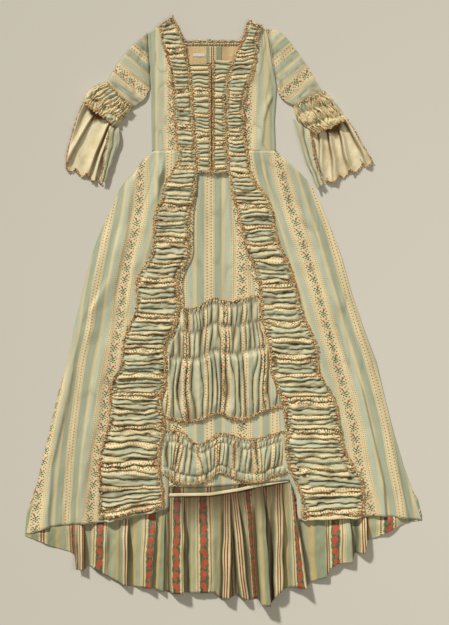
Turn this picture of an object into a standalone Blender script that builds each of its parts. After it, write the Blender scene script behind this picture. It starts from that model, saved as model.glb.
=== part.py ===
# Robe a la francaise with its petticoat, laid flat on its back with the front uppermost.
# Lengths are in millimetres. "drop" is the distance below the higher shoulder, measured down the
# garment; x is measured across it. +Y points to the neck and +Z up from the surface it lies on.

import math
from collections import namedtuple

import bmesh
import bpy

MM = 0.001
LENGTH = 1702.0
LEFT_HEM = -574.0
RIGHT_HEM = 577.0
CLOTH = 1.2
GAP = 0.3

# Heights of the undersides of the layers, counted up from the surface.
PLEAT_LAYER = 0.0
BACK_LAYER = PLEAT_LAYER + CLOTH + GAP
LINING_LAYER = BACK_LAYER + CLOTH + GAP
STRIP_LAYER = LINING_LAYER + CLOTH + GAP
PETTICOAT_LAYER = STRIP_LAYER
FLOUNCE_LAYER = PETTICOAT_LAYER + CLOTH + GAP
FRONT_LAYER = FLOUNCE_LAYER + CLOTH + GAP
ROBING_LAYER = FRONT_LAYER + CLOTH + GAP
GIMP_THICK = 1.6
GIMP_WIDE = 7.0

WAIST = 388.0
COMPERE_FOOT = 450.0
FOLD_ROOM = 3.0

Side = namedtuple("Side", "drop left right")
BODY_SIDES = (
    Side(34, -218, 126),
    Side(126, -214, 141),
    Side(206, -209, 156),
    Side(300, -207, 149),
    Side(388, -205, 152),
    Side(450, -258, 222),
    Side(500, -300, 262),
    Side(600, -345, 307),
    Side(700, -383, 345),
    Side(900, -432, 407),
    Side(1100, -480, 468),
    Side(1300, -531, 522),
    Side(1400, -557, 557),
    Side(1460, -570, 577),
    Side(1500, -574, 577),
)

# Upper outline of the back: two shoulder straps either side of the neck.
Edge = namedtuple("Edge", "x drop")
TOP_EDGE = (
    Edge(-218, 46),
    Edge(-184, 28),
    Edge(-145, 0),
    Edge(-116, 70),
    Edge(57, 70),
    Edge(76, 12),
    Edge(112, 26),
    Edge(126, 34),
)

# The lowest covered line of the back skirt: hems of the fronts and, between them, of the petticoat.
COVERED = (
    Edge(-574, 1498),
    Edge(-530, 1488),
    Edge(-500, 1478),
    Edge(-450, 1471),
    Edge(-365, 1466),
    Edge(-300, 1458),
    Edge(-250, 1447),
    Edge(-172, 1425),
    Edge(-158, 1393),
    Edge(-38, 1390),
    Edge(44, 1377),
    Edge(109, 1363),
    Edge(200, 1348),
    Edge(206, 1457),
    Edge(300, 1458),
    Edge(410, 1448),
    Edge(480, 1449),
    Edge(577, 1458),
)
TRAIN_HEM = (
    Edge(-574, 1505),
    Edge(-491, 1536),
    Edge(-430, 1556),
    Edge(-413, 1600),
    Edge(-388, 1596),
    Edge(-340, 1612),
    Edge(-288, 1642),
    Edge(-222, 1652),
    Edge(-142, 1668),
    Edge(-30, 1668),
    Edge(8, 1684),
    Edge(80, 1686),
    Edge(122, 1702),
    Edge(144, 1682),
    Edge(192, 1652),
    Edge(231, 1653),
    Edge(300, 1620),
    Edge(330, 1584),
    Edge(388, 1570),
    Edge(418, 1516),
    Edge(480, 1490),
    Edge(577, 1466),
)

# Lengthwise folds of the train at its hem, from left to right: the top of each fold, the hollow
# after it and the height.
Fold = namedtuple("Fold", "crest hollow height")
FOLDS = (
    Fold(-520, -465, 4),
    Fold(-413, -388, 22),
    Fold(-360, -333, 15),
    Fold(-306, -277, 20),
    Fold(-250, -222, 26),
    Fold(-197, -172, 14),
    Fold(-142, -115, 28),
    Fold(-90, -68, 16),
    Fold(-42, -17, 24),
    Fold(8, 35, 28),
    Fold(62, 92, 26),
    Fold(122, 144, 32),
    Fold(164, 192, 18),
    Fold(222, 252, 28),
    Fold(282, 312, 22),
    Fold(340, 364, 18),
    Fold(388, 418, 24),
    Fold(470, 522, 5),
)

# Robings: the ruched bands that edge the fronts from shoulder to hem, in a slow wave.
Band = namedtuple("Band", "drop outer inner")
ROBING_LEFT = (
    Band(14, -184, -145),
    Band(70, -176, -116),
    Band(140, -155, -101),
    Band(220, -145, -89),
    Band(330, -139, -82),
    Band(445, -143, -75),
    Band(470, -165, -76),
    Band(530, -180, -83),
    Band(560, -197, -92),
    Band(640, -203, -98),
    Band(690, -210, -99),
    Band(755, -249, -126),
    Band(850, -255, -126),
    Band(900, -277, -138),
    Band(945, -291, -161),
    Band(1020, -304, -162),
    Band(1060, -328, -164),
    Band(1120, -331, -178),
    Band(1185, -338, -166),
    Band(1250, -356, -178),
    Band(1310, -365, -181),
    Band(1370, -362, -171),
    Band(1444, -364, -170),
)
ROBING_RIGHT = (
    Band(18, 112, 76),
    Band(70, 101, 55),
    Band(125, 97, 30),
    Band(220, 68, 9),
    Band(330, 62, 8),
    Band(400, 73, 12),
    Band(445, 79, 16),
    Band(480, 96, 21),
    Band(510, 118, 25),
    Band(550, 140, 36),
    Band(600, 151, 48),
    Band(650, 160, 59),
    Band(700, 184, 76),
    Band(760, 207, 98),
    Band(820, 222, 106),
    Band(860, 233, 107),
    Band(950, 274, 130),
    Band(1030, 282, 138),
    Band(1110, 327, 165),
    Band(1180, 341, 178),
    Band(1250, 354, 178),
    Band(1300, 382, 185),
    Band(1345, 408, 205),
    Band(1385, 410, 222),
    Band(1452, 412, 227),
)
ROBING_TOP_SLANT = {"left": 28.0, "right": 14.0}
ROBING_FOOT_SLANT = {"left": 41.0, "right": -10.0}
PUCKER_PITCH = 50.0
PUCKER_HIGH = 5.0
ROBING_MARGIN = 12.0
FRONT_LAP = 12.0

# Cut of the fronts across, from the robing's outer edge (0) to the side fold (1).
Across = namedtuple("Across", "part under fold pleat")
SKIRT_ACROSS = (
    Across(0.00, FRONT_LAYER, 0.0, 0.0),
    Across(0.22, 5.2, 2.0, 0.5),
    Across(0.42, 4.0, 9.0, 4.0),
    Across(0.62, 3.3, 2.0, 0.5),
    Across(0.85, 2.4, 0.0, 4.0),
    Across(1.00, CLOTH + GAP, 0.0, 0.0),
)

# Petticoat flounces: each row gives where it lies down its height and how far its gathers stand.
Gather = namedtuple("Gather", "part stand")
UPPER_ROWS = (
    Gather(0.00, 3.0),
    Gather(0.22, 1.5),
    Gather(0.34, 4.5),
    Gather(0.46, 1.5),
    Gather(0.75, 6.0),
    Gather(1.00, 7.5),
)
LOWER_ROWS = (
    Gather(0.00, 3.0),
    Gather(0.22, 2.0),
    Gather(0.55, 6.0),
    Gather(0.85, 2.5),
    Gather(1.00, 4.0),
)
UPPER_HEAD = (
    Edge(-140, 838),
    Edge(-70, 840),
    Edge(-38, 818),
    Edge(22, 824),
    Edge(87, 808),
    Edge(130, 806),
)
UPPER_FOOT = (
    Edge(-185, 1160),
    Edge(-90, 1176),
    Edge(-12, 1152),
    Edge(40, 1170),
    Edge(148, 1136),
    Edge(180, 1134),
)
LOWER_HEAD = (
    Edge(-190, 1204),
    Edge(-120, 1200),
    Edge(-73, 1236),
    Edge(-8, 1206),
    Edge(67, 1222),
    Edge(190, 1196),
)
LOWER_FOOT = (
    Edge(-190, 1322),
    Edge(-89, 1356),
    Edge(-3, 1321),
    Edge(67, 1348),
    Edge(200, 1318),
)
PETTICOAT_HEM = (
    Edge(-330, 1364),
    Edge(-38, 1362),
    Edge(113, 1351),
    Edge(330, 1330),
)
UNDER_HEM = (
    Edge(-330, 1392),
    Edge(-158, 1390),
    Edge(-38, 1387),
    Edge(44, 1374),
    Edge(109, 1360),
    Edge(200, 1345),
    Edge(330, 1335),
)
PETTICOAT_WAIST = 432.0

# Sleeves: the two ends of each section across the flattened tube, x and drop of each.
Section = namedtuple("Section", "outer_x outer_drop inner_x inner_drop")
SLEEVE_LEFT = (
    Section(-220, 46, -211, 206),
    Section(-262, 84, -226, 238),
    Section(-305, 138, -250, 256),
    Section(-340, 201, -277, 271),
    Section(-360, 222, -293, 290),
)
SLEEVE_RIGHT = (
    Section(128.5, 35, 158, 214),
    Section(168, 46, 166, 232),
    Section(208, 92, 182, 246),
    Section(245, 143, 198, 254),
    Section(294, 229, 212, 262),
    Section(318, 262, 230, 290),
)
CUFF_LEFT = (
    Section(-338, 192, -266, 268),
    Section(-372, 202, -280, 289),
    Section(-400, 226, -294, 305),
    Section(-404, 256, -314, 322),
)
CUFF_RIGHT = (
    Section(297, 219, 203, 260),
    Section(325, 248, 213, 296),
    Section(346, 276, 234, 322),
    Section(362, 302, 262, 342),
)
RUFFLE_LEFT = (
    Section(-376, 240, -310, 304),
    Section(-412, 276, -322, 322),
    Section(-436, 340, -334, 384),
    Section(-452, 396, -344, 440),
    Section(-457, 440, -352, 480),
)
RUFFLE_RIGHT = (
    Section(338, 288, 250, 312),
    Section(370, 318, 264, 350),
    Section(396, 362, 272, 400),
    Section(420, 396, 282, 446),
    Section(434, 420, 298, 484),
)
TURNED_LEFT = (
    Section(-329, 326, -301, 330),
    Section(-340, 384, -300, 370),
    Section(-349, 440, -322, 424),
    Section(-350, 478, -339, 480),
)
TURNED_RIGHT = (
    Section(258, 347, 210, 300),
    Section(266, 402, 224, 366),
    Section(276, 448, 244, 430),
    Section(292, 486, 274, 501),
)
SCALLOP = 14.0
SLEEVE_HIGH = 6.0
CUFF_LAYER = SLEEVE_HIGH + GAP

# Compere: the two buttoned halves that fill the bodice front between the robings.
Compere = namedtuple("Compere", "top under_robing inside centre")
COMPERE_LEFT = Compere(top=138, under_robing=-96, inside=-66, centre=-33)
COMPERE_RIGHT = Compere(top=126, under_robing=26, inside=0, centre=-31)
COMPERE_PUCKER = 2.4


def clearScene():
    for item in list(bpy.data.objects):
        bpy.data.objects.remove(item)
    made = bpy.data.collections.new("robe_a_la_francaise")
    bpy.context.scene.collection.children.link(made)
    return made


def place(x, drop, height):
    middle = (LEFT_HEM + RIGHT_HEM) / 2
    return ((x - middle) * MM, (LENGTH / 2 - drop) * MM, height * MM)


def blend(first, last, part):
    return first + (last - first) * part


def smooth(part):
    part = min(1.0, max(0.0, part))
    return part * part * (3 - 2 * part)


def read(table, key, column, value):
    """The column's value where the key column has the given value, straight between rows."""
    rows = list(table)
    if value <= getattr(rows[0], key):
        return float(getattr(rows[0], column))
    for first, last in zip(rows, rows[1:]):
        low = getattr(first, key)
        high = getattr(last, key)
        if value <= high:
            part = (value - low) / (high - low)
            return blend(getattr(first, column), getattr(last, column), part)
    return float(getattr(rows[-1], column))


def edgeDrop(table, x):
    return read(table, "x", "drop", x)


def sideX(side, drop):
    return read(BODY_SIDES, "drop", side, drop)


def robingTable(side):
    return ROBING_LEFT if side == "left" else ROBING_RIGHT


def robingX(side, column, drop):
    return read(robingTable(side), "drop", column, drop)


def robingMiddle(side, drop):
    return (robingX(side, "outer", drop) + robingX(side, "inner", drop)) / 2


def outward(side):
    return -1.0 if side == "left" else 1.0


def frontEdge(side, drop):
    """Inner edge of a front: hidden under the robing on the bodice, just past it on the skirt."""
    if drop <= COMPERE_FOOT + 2:
        return robingMiddle(side, drop)
    lap = 2.0 + (FRONT_LAP - 2.0) * smooth((drop - 500.0) / 100.0)
    return robingX(side, "inner", drop) - outward(side) * lap


def makeMaterial(name, colour, roughness):
    made = bpy.data.materials.new(name)
    made.use_nodes = True
    shader = made.node_tree.nodes["Principled BSDF"]
    shader.inputs["Base Color"].default_value = (*colour, 1.0)
    shader.inputs["Roughness"].default_value = roughness
    shader.inputs["Metallic"].default_value = 0.0
    made.diffuse_color = (*colour, 1.0)
    return made


SILK = (0.72, 0.68, 0.54)
SILK_WRONG_SIDE = (0.48, 0.50, 0.40)
RUCHED_SILK = (0.74, 0.64, 0.48)
BRAID = (0.62, 0.42, 0.20)
LINEN = (0.76, 0.64, 0.45)
TAPE = (0.82, 0.80, 0.74)


def finish(item, name, colour, roughness):
    item.name = name
    item.data.name = name
    item.data.materials.clear()
    item.data.materials.append(makeMaterial(name + "_cloth", colour, roughness))
    for owner in list(item.users_collection):
        owner.objects.unlink(item)
    robe.objects.link(item)
    return item


def thicken(item, thickness):
    shell = item.modifiers.new("cloth thickness", "SOLIDIFY")
    shell.thickness = thickness * MM
    shell.offset = 1.0
    shell.use_rim = True


def panel(name, columns, rows, where, colour, thickness=CLOTH, roughness=0.6):
    """A sheet of cloth: where(i, j) gives x, drop and the underside's height at column i, row j."""
    bpy.ops.mesh.primitive_grid_add(x_subdivisions=columns, y_subdivisions=rows, size=1.0)
    item = bpy.context.active_object
    for point in item.data.vertices:
        i = round((point.co.x + 0.5) * columns)
        j = rows - round((point.co.y + 0.5) * rows)
        point.co = place(*where(i, j))
    turnUp(item)
    thicken(item, thickness)
    return finish(item, name, colour, roughness)


def turnUp(item):
    """Turns the sheet's faces upwards, so that its thickness grows from the underside."""
    work = bmesh.new()
    work.from_mesh(item.data)
    work.normal_update()
    if sum(face.normal.z * face.calc_area() for face in work.faces) < 0:
        bmesh.ops.reverse_faces(work, faces=work.faces)
    work.to_mesh(item.data)
    work.free()


def ribbon(name, line, under, wide=GIMP_WIDE, thick=GIMP_THICK, colour=BRAID):
    """A flat braid of even width along a line of (x, drop) points."""
    sides = []
    for index, (x, drop) in enumerate(line):
        before = line[max(index - 1, 0)]
        after = line[min(index + 1, len(line) - 1)]
        run = math.hypot(after[0] - before[0], after[1] - before[1])
        turn_x = -(after[1] - before[1]) / run * wide / 2
        turn_drop = (after[0] - before[0]) / run * wide / 2
        sides.append(((x + turn_x, drop + turn_drop), (x - turn_x, drop - turn_drop)))

    def where(i, j):
        x, drop = sides[j][i]
        return x, drop, under

    return panel(name, 1, len(line) - 1, where, colour, thick, 0.7)


def foldColumns():
    """Fractions across the back at the top and bottom of every lengthwise fold, and heights."""
    marks = [(LEFT_HEM, 0.0)]
    for fold in FOLDS:
        marks.append((fold.crest, fold.height))
        marks.append((fold.hollow, 0.0))
    marks.append((RIGHT_HEM, 0.0))
    wide = RIGHT_HEM - LEFT_HEM
    return [((x - LEFT_HEM) / wide, x, height) for x, height in marks]


def backStep(part, drop):
    """Height of the back's underside over the box pleats, falling to nothing at the sides."""
    off_centre = abs(part * 2 - 1)
    step = BACK_LAYER * smooth((0.75 - off_centre) / 0.15)
    return step * (1 - smooth((drop - 1240.0) / 55.0))


BACK_DROPS = (112, 206, 388, 450, 520, 640, 800, 1200, 1300)
TRAIN_PARTS = ((0.0, 0.0), (0.30, 0.55), (0.65, 0.9), (1.0, 1.0))


def makeBack():
    columns = foldColumns()
    top_x = [blend(TOP_EDGE[0].x, TOP_EDGE[-1].x, part) for part, _, _ in columns]
    for corner in TOP_EDGE:
        nearest = min(range(len(top_x)), key=lambda index: abs(top_x[index] - corner.x))
        top_x[nearest] = corner.x

    def where(i, j):
        part, hem_x, height = columns[i]
        if j == 0:
            return top_x[i], edgeDrop(TOP_EDGE, top_x[i]), backStep(part, 0)
        if j <= len(BACK_DROPS):
            drop = BACK_DROPS[j - 1]
            x = blend(sideX("left", drop), sideX("right", drop), part)
            return x, drop, backStep(part, drop)
        down, rise = TRAIN_PARTS[j - 1 - len(BACK_DROPS)]
        start = edgeDrop(COVERED, hem_x) + FOLD_ROOM
        end = max(edgeDrop(TRAIN_HEM, hem_x), start + 4.0)
        return hem_x, blend(start, end, down), height * rise

    rows = len(BACK_DROPS) + len(TRAIN_PARTS)
    panel("back_and_train", len(columns) - 1, rows, where, SILK_WRONG_SIDE)


BOX_PLEAT_DROPS = (76, 206, 388, 640, 960, 1200)


def makeBoxPleats():
    for name, first, last in (("box_pleat_left", 0.25, 0.47), ("box_pleat_right", 0.53, 0.75)):

        def where(i, j):
            drop = BOX_PLEAT_DROPS[j]
            part = blend(first, last, i / 2)
            x = blend(sideX("left", drop), sideX("right", drop), part)
            return x, drop, PLEAT_LAYER

        panel(name, 2, len(BOX_PLEAT_DROPS) - 1, where, SILK)


def rectangle(name, left, right, top, foot, under, colour, thick):
    def where(i, j):
        return (left, right)[i], (top, foot)[j], under

    panel(name, 1, 1, where, colour, thick, 0.8)


def makeNeck():
    rectangle("back_lining", -111, 52, 83, 205, LINING_LAYER, LINEN, 1.2)
    rectangle("lining_strip", -48, -4, 86, 136, STRIP_LAYER, SILK_WRONG_SIDE, 0.9)
    rectangle("neck_tape", -87, -52, 107, 116, STRIP_LAYER, TAPE, 0.8)

    def where(i, j):
        x = blend(-113, 54, i / 12)
        return x, (70, 81)[j], LINING_LAYER + (1.2 if i % 2 else 0.0)

    panel("neck_trimming", 12, 1, where, BRAID, 1.8, 0.8)


BODICE_DROPS = (70, 140, 206, 300, WAIST - GAP)


def makeBodiceFront(side):
    """From the armhole and side seam to under the robing, shoulder to waist."""
    top_outer, top_inner = ((-218, -164) if side == "left" else (126, 94))

    def where(i, j):
        part = (0.0, 0.45, 1.0)[i]
        if j == 0:
            x = blend(top_inner, top_outer, part)
            height = blend(FRONT_LAYER, BACK_LAYER + CLOTH + GAP, part)
            return x, edgeDrop(TOP_EDGE, x), height
        drop = BODICE_DROPS[j - 1]
        inner = robingMiddle(side, drop)
        outer = robingX(side, "outer", drop) + outward(side) * 8
        if i == 0:
            return inner, drop, FRONT_LAYER
        edge = sideX(side, drop)
        if i == 1:
            return outer, drop, FRONT_LAYER
        return edge, drop, CLOTH + GAP

    panel("bodice_front_" + side, 2, len(BODICE_DROPS), where, SILK)


SKIRT_DROPS = (WAIST, 420, 452, 476, 530, 560, 640, 700, 755, 850, 945, 1020, 1110, 1200, 1310)


def makeSkirtFront(side):
    """From the robing to the side fold, waist to hem, with hip pleats and one long fold."""

    def where(i, j):
        last = j == len(SKIRT_DROPS)
        drop = 1440.0 if last else SKIRT_DROPS[j]
        inner = frontEdge(side, drop)
        start = robingX(side, "outer", drop) + outward(side) * 8
        end = sideX(side, 1500.0 if last else drop) - outward(side) * (4.0 if last else 0.0)
        if i == 0:
            x = inner
            under = FRONT_LAYER
        else:
            across = SKIRT_ACROSS[i - 1]
            x = blend(start, end, across.part)
            long_fold = across.fold * smooth((drop - 620) / 180)
            hip_pleat = across.pleat * (1 - smooth((drop - 430) / 90))
            under = across.under + long_fold + hip_pleat
        if last:
            drop = edgeDrop(COVERED, hemX(side, x))
        return x, drop, under

    panel("skirt_front_" + side, len(SKIRT_ACROSS), len(SKIRT_DROPS), where, SILK)


def hemX(side, x):
    """Keeps the hem's inner corner on the front's own stretch of the covered line."""
    return min(x, -172) if side == "left" else max(x, 206)


def puckerRows(side):
    table = robingTable(side)
    first = table[0].drop
    last = table[-1].drop
    count = 2 * round((last - first) / PUCKER_PITCH)
    return [blend(first, last, index / count) for index in range(count + 1)]


def robingPoint(side, drop, x_part, first, last):
    """A point of the robing, whose two ends are cut on the slant."""
    outer = robingX(side, "outer", drop)
    inner = robingX(side, "inner", drop)
    x = blend(inner, outer, x_part)
    top = ROBING_TOP_SLANT[side] * max(0.0, 1 - (drop - first) / 60.0)
    foot = ROBING_FOOT_SLANT[side] * max(0.0, 1 - (last - drop) / 90.0)
    return x, drop + (top + foot) * (x_part - 0.5)


def makeRobing(side):
    rows = puckerRows(side)

    def where(i, j):
        drop = rows[j]
        wide = abs(robingX(side, "outer", drop) - robingX(side, "inner", drop))
        margin = ROBING_MARGIN / wide
        part = (0.0, margin, 0.34, 0.66, 1 - margin, 1.0)[i]
        x, moved = robingPoint(side, drop, part, rows[0], rows[-1])
        crest = j % 2 == 1 and i in (2, 3)
        swell = 1 + 0.3 * math.sin(j * 2.4 + i)
        return x, moved, ROBING_LAYER + (PUCKER_HIGH * swell if crest else 0.0)

    panel("robing_" + side, 5, len(rows) - 1, where, RUCHED_SILK)
    for edge, part in (("inner", 0.0), ("outer", 1.0)):
        line = []
        for index in range(0, len(rows), 2):
            drop = rows[index]
            wide = abs(robingX(side, "outer", drop) - robingX(side, "inner", drop))
            inset = (GIMP_WIDE / 2 + 1.0) / wide
            at = inset if part == 0.0 else 1 - inset
            line.append(robingPoint(side, drop, at, rows[0], rows[-1]))
        under = ROBING_LAYER + CLOTH + GAP
        ribbon("robing_braid_" + edge + "_" + side, line, under)


COMPERE_ROWS = 16


def makeCompere(side, cut):
    """One half: flat where the robing covers it and along the closing, ruched between."""
    edge = cut.centre - outward(side) * -1 * 9

    def where(i, j):
        drop = blend(cut.top, COMPERE_FOOT, j / COMPERE_ROWS)
        inner = robingX(side, "inner", drop)
        start = inner - outward(side) * 10
        x = (cut.under_robing, start, (start + edge) / 2, edge, cut.centre)[i]
        swell = 1 + 0.25 * math.sin(j * 1.7)
        lift = COMPERE_PUCKER * swell if j % 2 and i in (2, 3) else 0.0
        lift = 0.0 if i == 3 else lift
        return x, drop, FRONT_LAYER + lift

    panel("compere_" + side, 4, COMPERE_ROWS, where, RUCHED_SILK)
    close_x = cut.centre + outward(side) * 4.5
    drops = [blend(cut.top + 1, COMPERE_FOOT - 1, index / 4) for index in range(5)]
    under = FRONT_LAYER + CLOTH + GAP
    ribbon("compere_braid_" + side, [(close_x, drop) for drop in drops], under)


def petticoatSide(side, drop):
    outer = robingX(side, "outer", max(drop, 470))
    inner = robingX(side, "inner", max(drop, 470))
    return blend(inner, outer, 0.85)


PETTICOAT_DROPS = (PETTICOAT_WAIST, 560, 700, 830, 960, 1090, 1220)


def makePetticoat():
    """The front and the back of the petticoat, lying on each other and closed under the robe."""
    rows = len(PETTICOAT_DROPS)

    def layer(under, hem):
        def where(i, j):
            drop = PETTICOAT_DROPS[min(j, rows - 1)] if j < rows else 1340
            x = blend(petticoatSide("left", drop), petticoatSide("right", drop), i / 8)
            return x, edgeDrop(hem, x) if j == rows else drop, under

        return where

    panel("petticoat_back", 8, rows, layer(LINING_LAYER, UNDER_HEM), SILK_WRONG_SIDE)
    panel("petticoat_front", 8, rows, layer(PETTICOAT_LAYER, PETTICOAT_HEM), SILK)

    def tape(i, j):
        x = blend(-150, 186, i / 6)
        return x, edgeDrop(UNDER_HEM, x) - (10, 1)[j], PETTICOAT_LAYER

    def clearOfFront(i, j):
        x, drop, under = tape(i, j)
        return x, max(drop, edgeDrop(PETTICOAT_HEM, x) + 4 + j), under

    panel("petticoat_hem_tape", 6, 1, clearOfFront, LINEN, 1.0, 0.8)


def makeFlounce(name, head, foot, gathers, columns):
    def where(i, j):
        row = gathers[j]
        guess = blend(edgeDrop(head, 0), edgeDrop(foot, 0), row.part)
        left = frontEdge("left", guess)
        right = frontEdge("right", guess)
        hidden = i in (0, columns)
        if i == 0:
            x = left - 20
        elif i == columns:
            x = right + 20
        else:
            x = blend(left + 9, right - 9, (i - 1) / (columns - 2))
        drop = blend(edgeDrop(head, x), edgeDrop(foot, x), row.part)
        flat = hidden or i in (1, columns - 1) or i % 2
        swell = 1 + 0.35 * math.sin(i * 1.9 + j)
        return x, drop, FLOUNCE_LAYER + (0.0 if flat else row.stand * swell)

    panel(name, columns, len(gathers) - 1, where, RUCHED_SILK)


def makeFlounces():
    makeFlounce("upper_flounce", UPPER_HEAD, UPPER_FOOT, UPPER_ROWS, 22)
    makeFlounce("lower_flounce", LOWER_HEAD, LOWER_FOOT, LOWER_ROWS, 20)
    for name, edge, first, last, shift in (
        ("upper_flounce_braid", UPPER_HEAD, -106, 84, -6),
        ("lower_flounce_braid", LOWER_HEAD, -138, 148, -6),
    ):
        line = []
        for index in range(13):
            x = blend(first, last, index / 12)
            line.append((x, edgeDrop(edge, x) + shift))
        ribbon(name, line, FLOUNCE_LAYER)


def sectionPoint(section, part):
    x = blend(section.outer_x, section.inner_x, part)
    drop = blend(section.outer_drop, section.inner_drop, part)
    return x, drop


TUBE_RING = (
    (0.000, 0.5),
    (0.015, 0.85),
    (0.070, 1.0),
    (0.500, 1.0),
    (0.930, 1.0),
    (0.985, 0.85),
    (1.000, 0.5),
    (0.985, 0.15),
    (0.930, 0.0),
    (0.500, 0.0),
    (0.070, 0.0),
    (0.015, 0.15),
)


def makeSleeve(side, sections):
    """A flattened tube, its upper and lower cloth a few millimetres apart."""
    work = bmesh.new()
    rings = []
    for section in sections:
        ring = []
        for part, height in TUBE_RING:
            x, drop = sectionPoint(section, part)
            ring.append(work.verts.new(place(x, drop, height * SLEEVE_HIGH)))
        rings.append(ring)
    count = len(TUBE_RING)
    for first, last in zip(rings, rings[1:]):
        for index in range(count):
            after = (index + 1) % count
            work.faces.new((first[index], first[after], last[after], last[index]))
    work.normal_update()
    middle = SLEEVE_HIGH / 2 * MM
    if sum(face.normal.z * (face.calc_center_median().z - middle) for face in work.faces) < 0:
        bmesh.ops.reverse_faces(work, faces=work.faces)
    mesh = bpy.data.meshes.new("sleeve_" + side)
    work.to_mesh(mesh)
    work.free()
    item = bpy.data.objects.new("sleeve_" + side, mesh)
    thicken(item, CLOTH)
    item.modifiers[0].offset = -1.0
    return finish(item, "sleeve_" + side, SILK, 0.6)


def makeCuff(side, sections):
    """The ruched band at the elbow, laid over the end of the sleeve and down its two edges."""
    top = CUFF_LAYER + 1
    edge_rise = (1.0, 1.0, 5.0, top)
    parts = (0.0, 0.04, 0.2, 0.4, 0.6, 0.8, 0.96, 1.0)

    def where(i, j):
        x, drop = sectionPoint(sections[j], parts[i])
        lift = 0.0
        if 1 < i < 6:
            lift = 2.4 if (i + j) % 2 else 0.0
        return x, drop, (edge_rise[j] if i in (0, 7) else top) + lift

    panel("cuff_" + side, 7, len(sections) - 1, where, RUCHED_SILK)


RUFFLE_COLUMNS = 10


def makeRuffle(side, sections):
    """The long flare below the elbow, lining side up, fluted and scalloped at its edge."""

    def where(i, j):
        part = i / RUFFLE_COLUMNS
        x, drop = sectionPoint(sections[j], part)
        down = j / (len(sections) - 1)
        if j == len(sections) - 1:
            drop += SCALLOP * abs(math.sin(part * math.pi * 2.5))
        raised = i % 2 and i < RUFFLE_COLUMNS - 1
        flute = 9.0 * down * (0.7 + 0.3 * math.sin(i * 2.1)) if raised else 0.0
        return x, drop, 1.5 + flute

    panel("sleeve_ruffle_" + side, RUFFLE_COLUMNS, len(sections) - 1, where, LINEN)


def makeTurned(side, sections):
    """The front of the ruffle, turned so that the right side of the silk shows."""

    def where(i, j):
        x, drop = sectionPoint(sections[j], i / 3)
        return x, drop, 3.2 + (0.0, 5.0, 3.0, -1.0)[i]

    panel("ruffle_front_" + side, 3, len(sections) - 1, where, SILK)


robe = clearScene()
makeBoxPleats()
makeBack()
makeNeck()
makePetticoat()
makeFlounces()
for wearer_side in ("left", "right"):
    makeBodiceFront(wearer_side)
    makeSkirtFront(wearer_side)
    makeRobing(wearer_side)
makeCompere("left", COMPERE_LEFT)
makeCompere("right", COMPERE_RIGHT)
makeSleeve("left", SLEEVE_LEFT)
makeSleeve("right", SLEEVE_RIGHT)
makeCuff("left", CUFF_LEFT)
makeCuff("right", CUFF_RIGHT)
makeRuffle("left", RUFFLE_LEFT)
makeRuffle("right", RUFFLE_RIGHT)
makeTurned("left", TURNED_LEFT)
makeTurned("right", TURNED_RIGHT)
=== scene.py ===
import math

import bpy
import numpy as np
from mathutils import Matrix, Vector


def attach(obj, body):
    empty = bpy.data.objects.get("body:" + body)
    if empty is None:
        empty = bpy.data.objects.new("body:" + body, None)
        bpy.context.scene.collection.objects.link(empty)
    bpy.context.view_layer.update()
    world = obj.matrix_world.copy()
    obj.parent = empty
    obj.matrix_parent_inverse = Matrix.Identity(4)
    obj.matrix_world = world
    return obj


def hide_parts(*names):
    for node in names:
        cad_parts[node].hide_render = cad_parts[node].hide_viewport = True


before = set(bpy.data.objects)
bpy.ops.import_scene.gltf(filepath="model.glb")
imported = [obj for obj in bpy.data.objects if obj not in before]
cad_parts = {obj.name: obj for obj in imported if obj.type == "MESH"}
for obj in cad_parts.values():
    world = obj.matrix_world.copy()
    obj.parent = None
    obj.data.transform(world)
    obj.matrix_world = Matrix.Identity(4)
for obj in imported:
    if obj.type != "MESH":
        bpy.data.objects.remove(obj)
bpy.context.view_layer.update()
print("frame loaded")

# x runs across the gown and drop runs down it from the higher shoulder, both in millimetres
gown = {"length": 1702.0, "middle": 1.5, "waist": 388.0, "thick": 0.8, "petticoatWaist": 432.0}
# how high each cloth lies above the surface
layer = {"pleat": 0.8, "back": 1.2, "lining": 4.2, "petticoatBack": 4.2, "strip": 5.4, "petticoat": 5.7,
         "flounce": 7.0, "front": 8.7, "robing": 9.8}

bodySides = {
    "drop": [34, 126, 206, 300, 388, 420, 450, 475, 500, 550, 600, 650, 700, 800, 900, 1000, 1100,
             1200, 1300, 1400, 1460, 1500],
    "left": [-218, -214, -209, -207, -205, -234, -258, -282, -300, -320, -345, -366, -383, -407,
             -432, -451, -480, -503, -531, -557, -570, -574],
    "right": [126, 141, 156, 149, 152, 188, 222, 245, 262, 287, 307, 328, 345, 373, 407, 445, 468,
              493, 522, 557, 576, 577]}
robingEdges = {
    "left": {
        "drop": [14, 70, 140, 220, 330, 445, 470, 530, 560, 640, 690, 755, 850, 900, 945, 1020, 1060,
                 1120, 1185, 1250, 1310, 1370, 1444],
        "outer": [-184, -176, -155, -145, -139, -143, -163, -180, -196, -203, -210, -249, -255, -277,
                  -291, -304, -327, -331, -338, -356, -365, -362, -364],
        "inner": [-145, -116, -101, -89, -82, -75, -76, -83, -92, -98, -99, -126, -126, -138, -161,
                  -162, -164, -178, -166, -178, -181, -171, -170],
        "topSlant": 28.0, "footSlant": 41.0},
    "right": {
        "drop": [18, 70, 125, 220, 330, 400, 445, 480, 510, 550, 600, 650, 700, 760, 820, 860, 950,
                 1030, 1110, 1180, 1250, 1300, 1345, 1385, 1452],
        "outer": [112, 101, 97, 68, 62, 73, 79, 96, 118, 140, 151, 160, 184, 207, 222, 233, 274, 282,
                  327, 341, 354, 382, 408, 410, 412],
        "inner": [76, 55, 30, 9, 8, 12, 16, 21, 25, 36, 48, 59, 76, 98, 106, 107, 130, 138, 165, 178,
                  178, 185, 205, 222, 227],
        "topSlant": 14.0, "footSlant": -10.0}}
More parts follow.
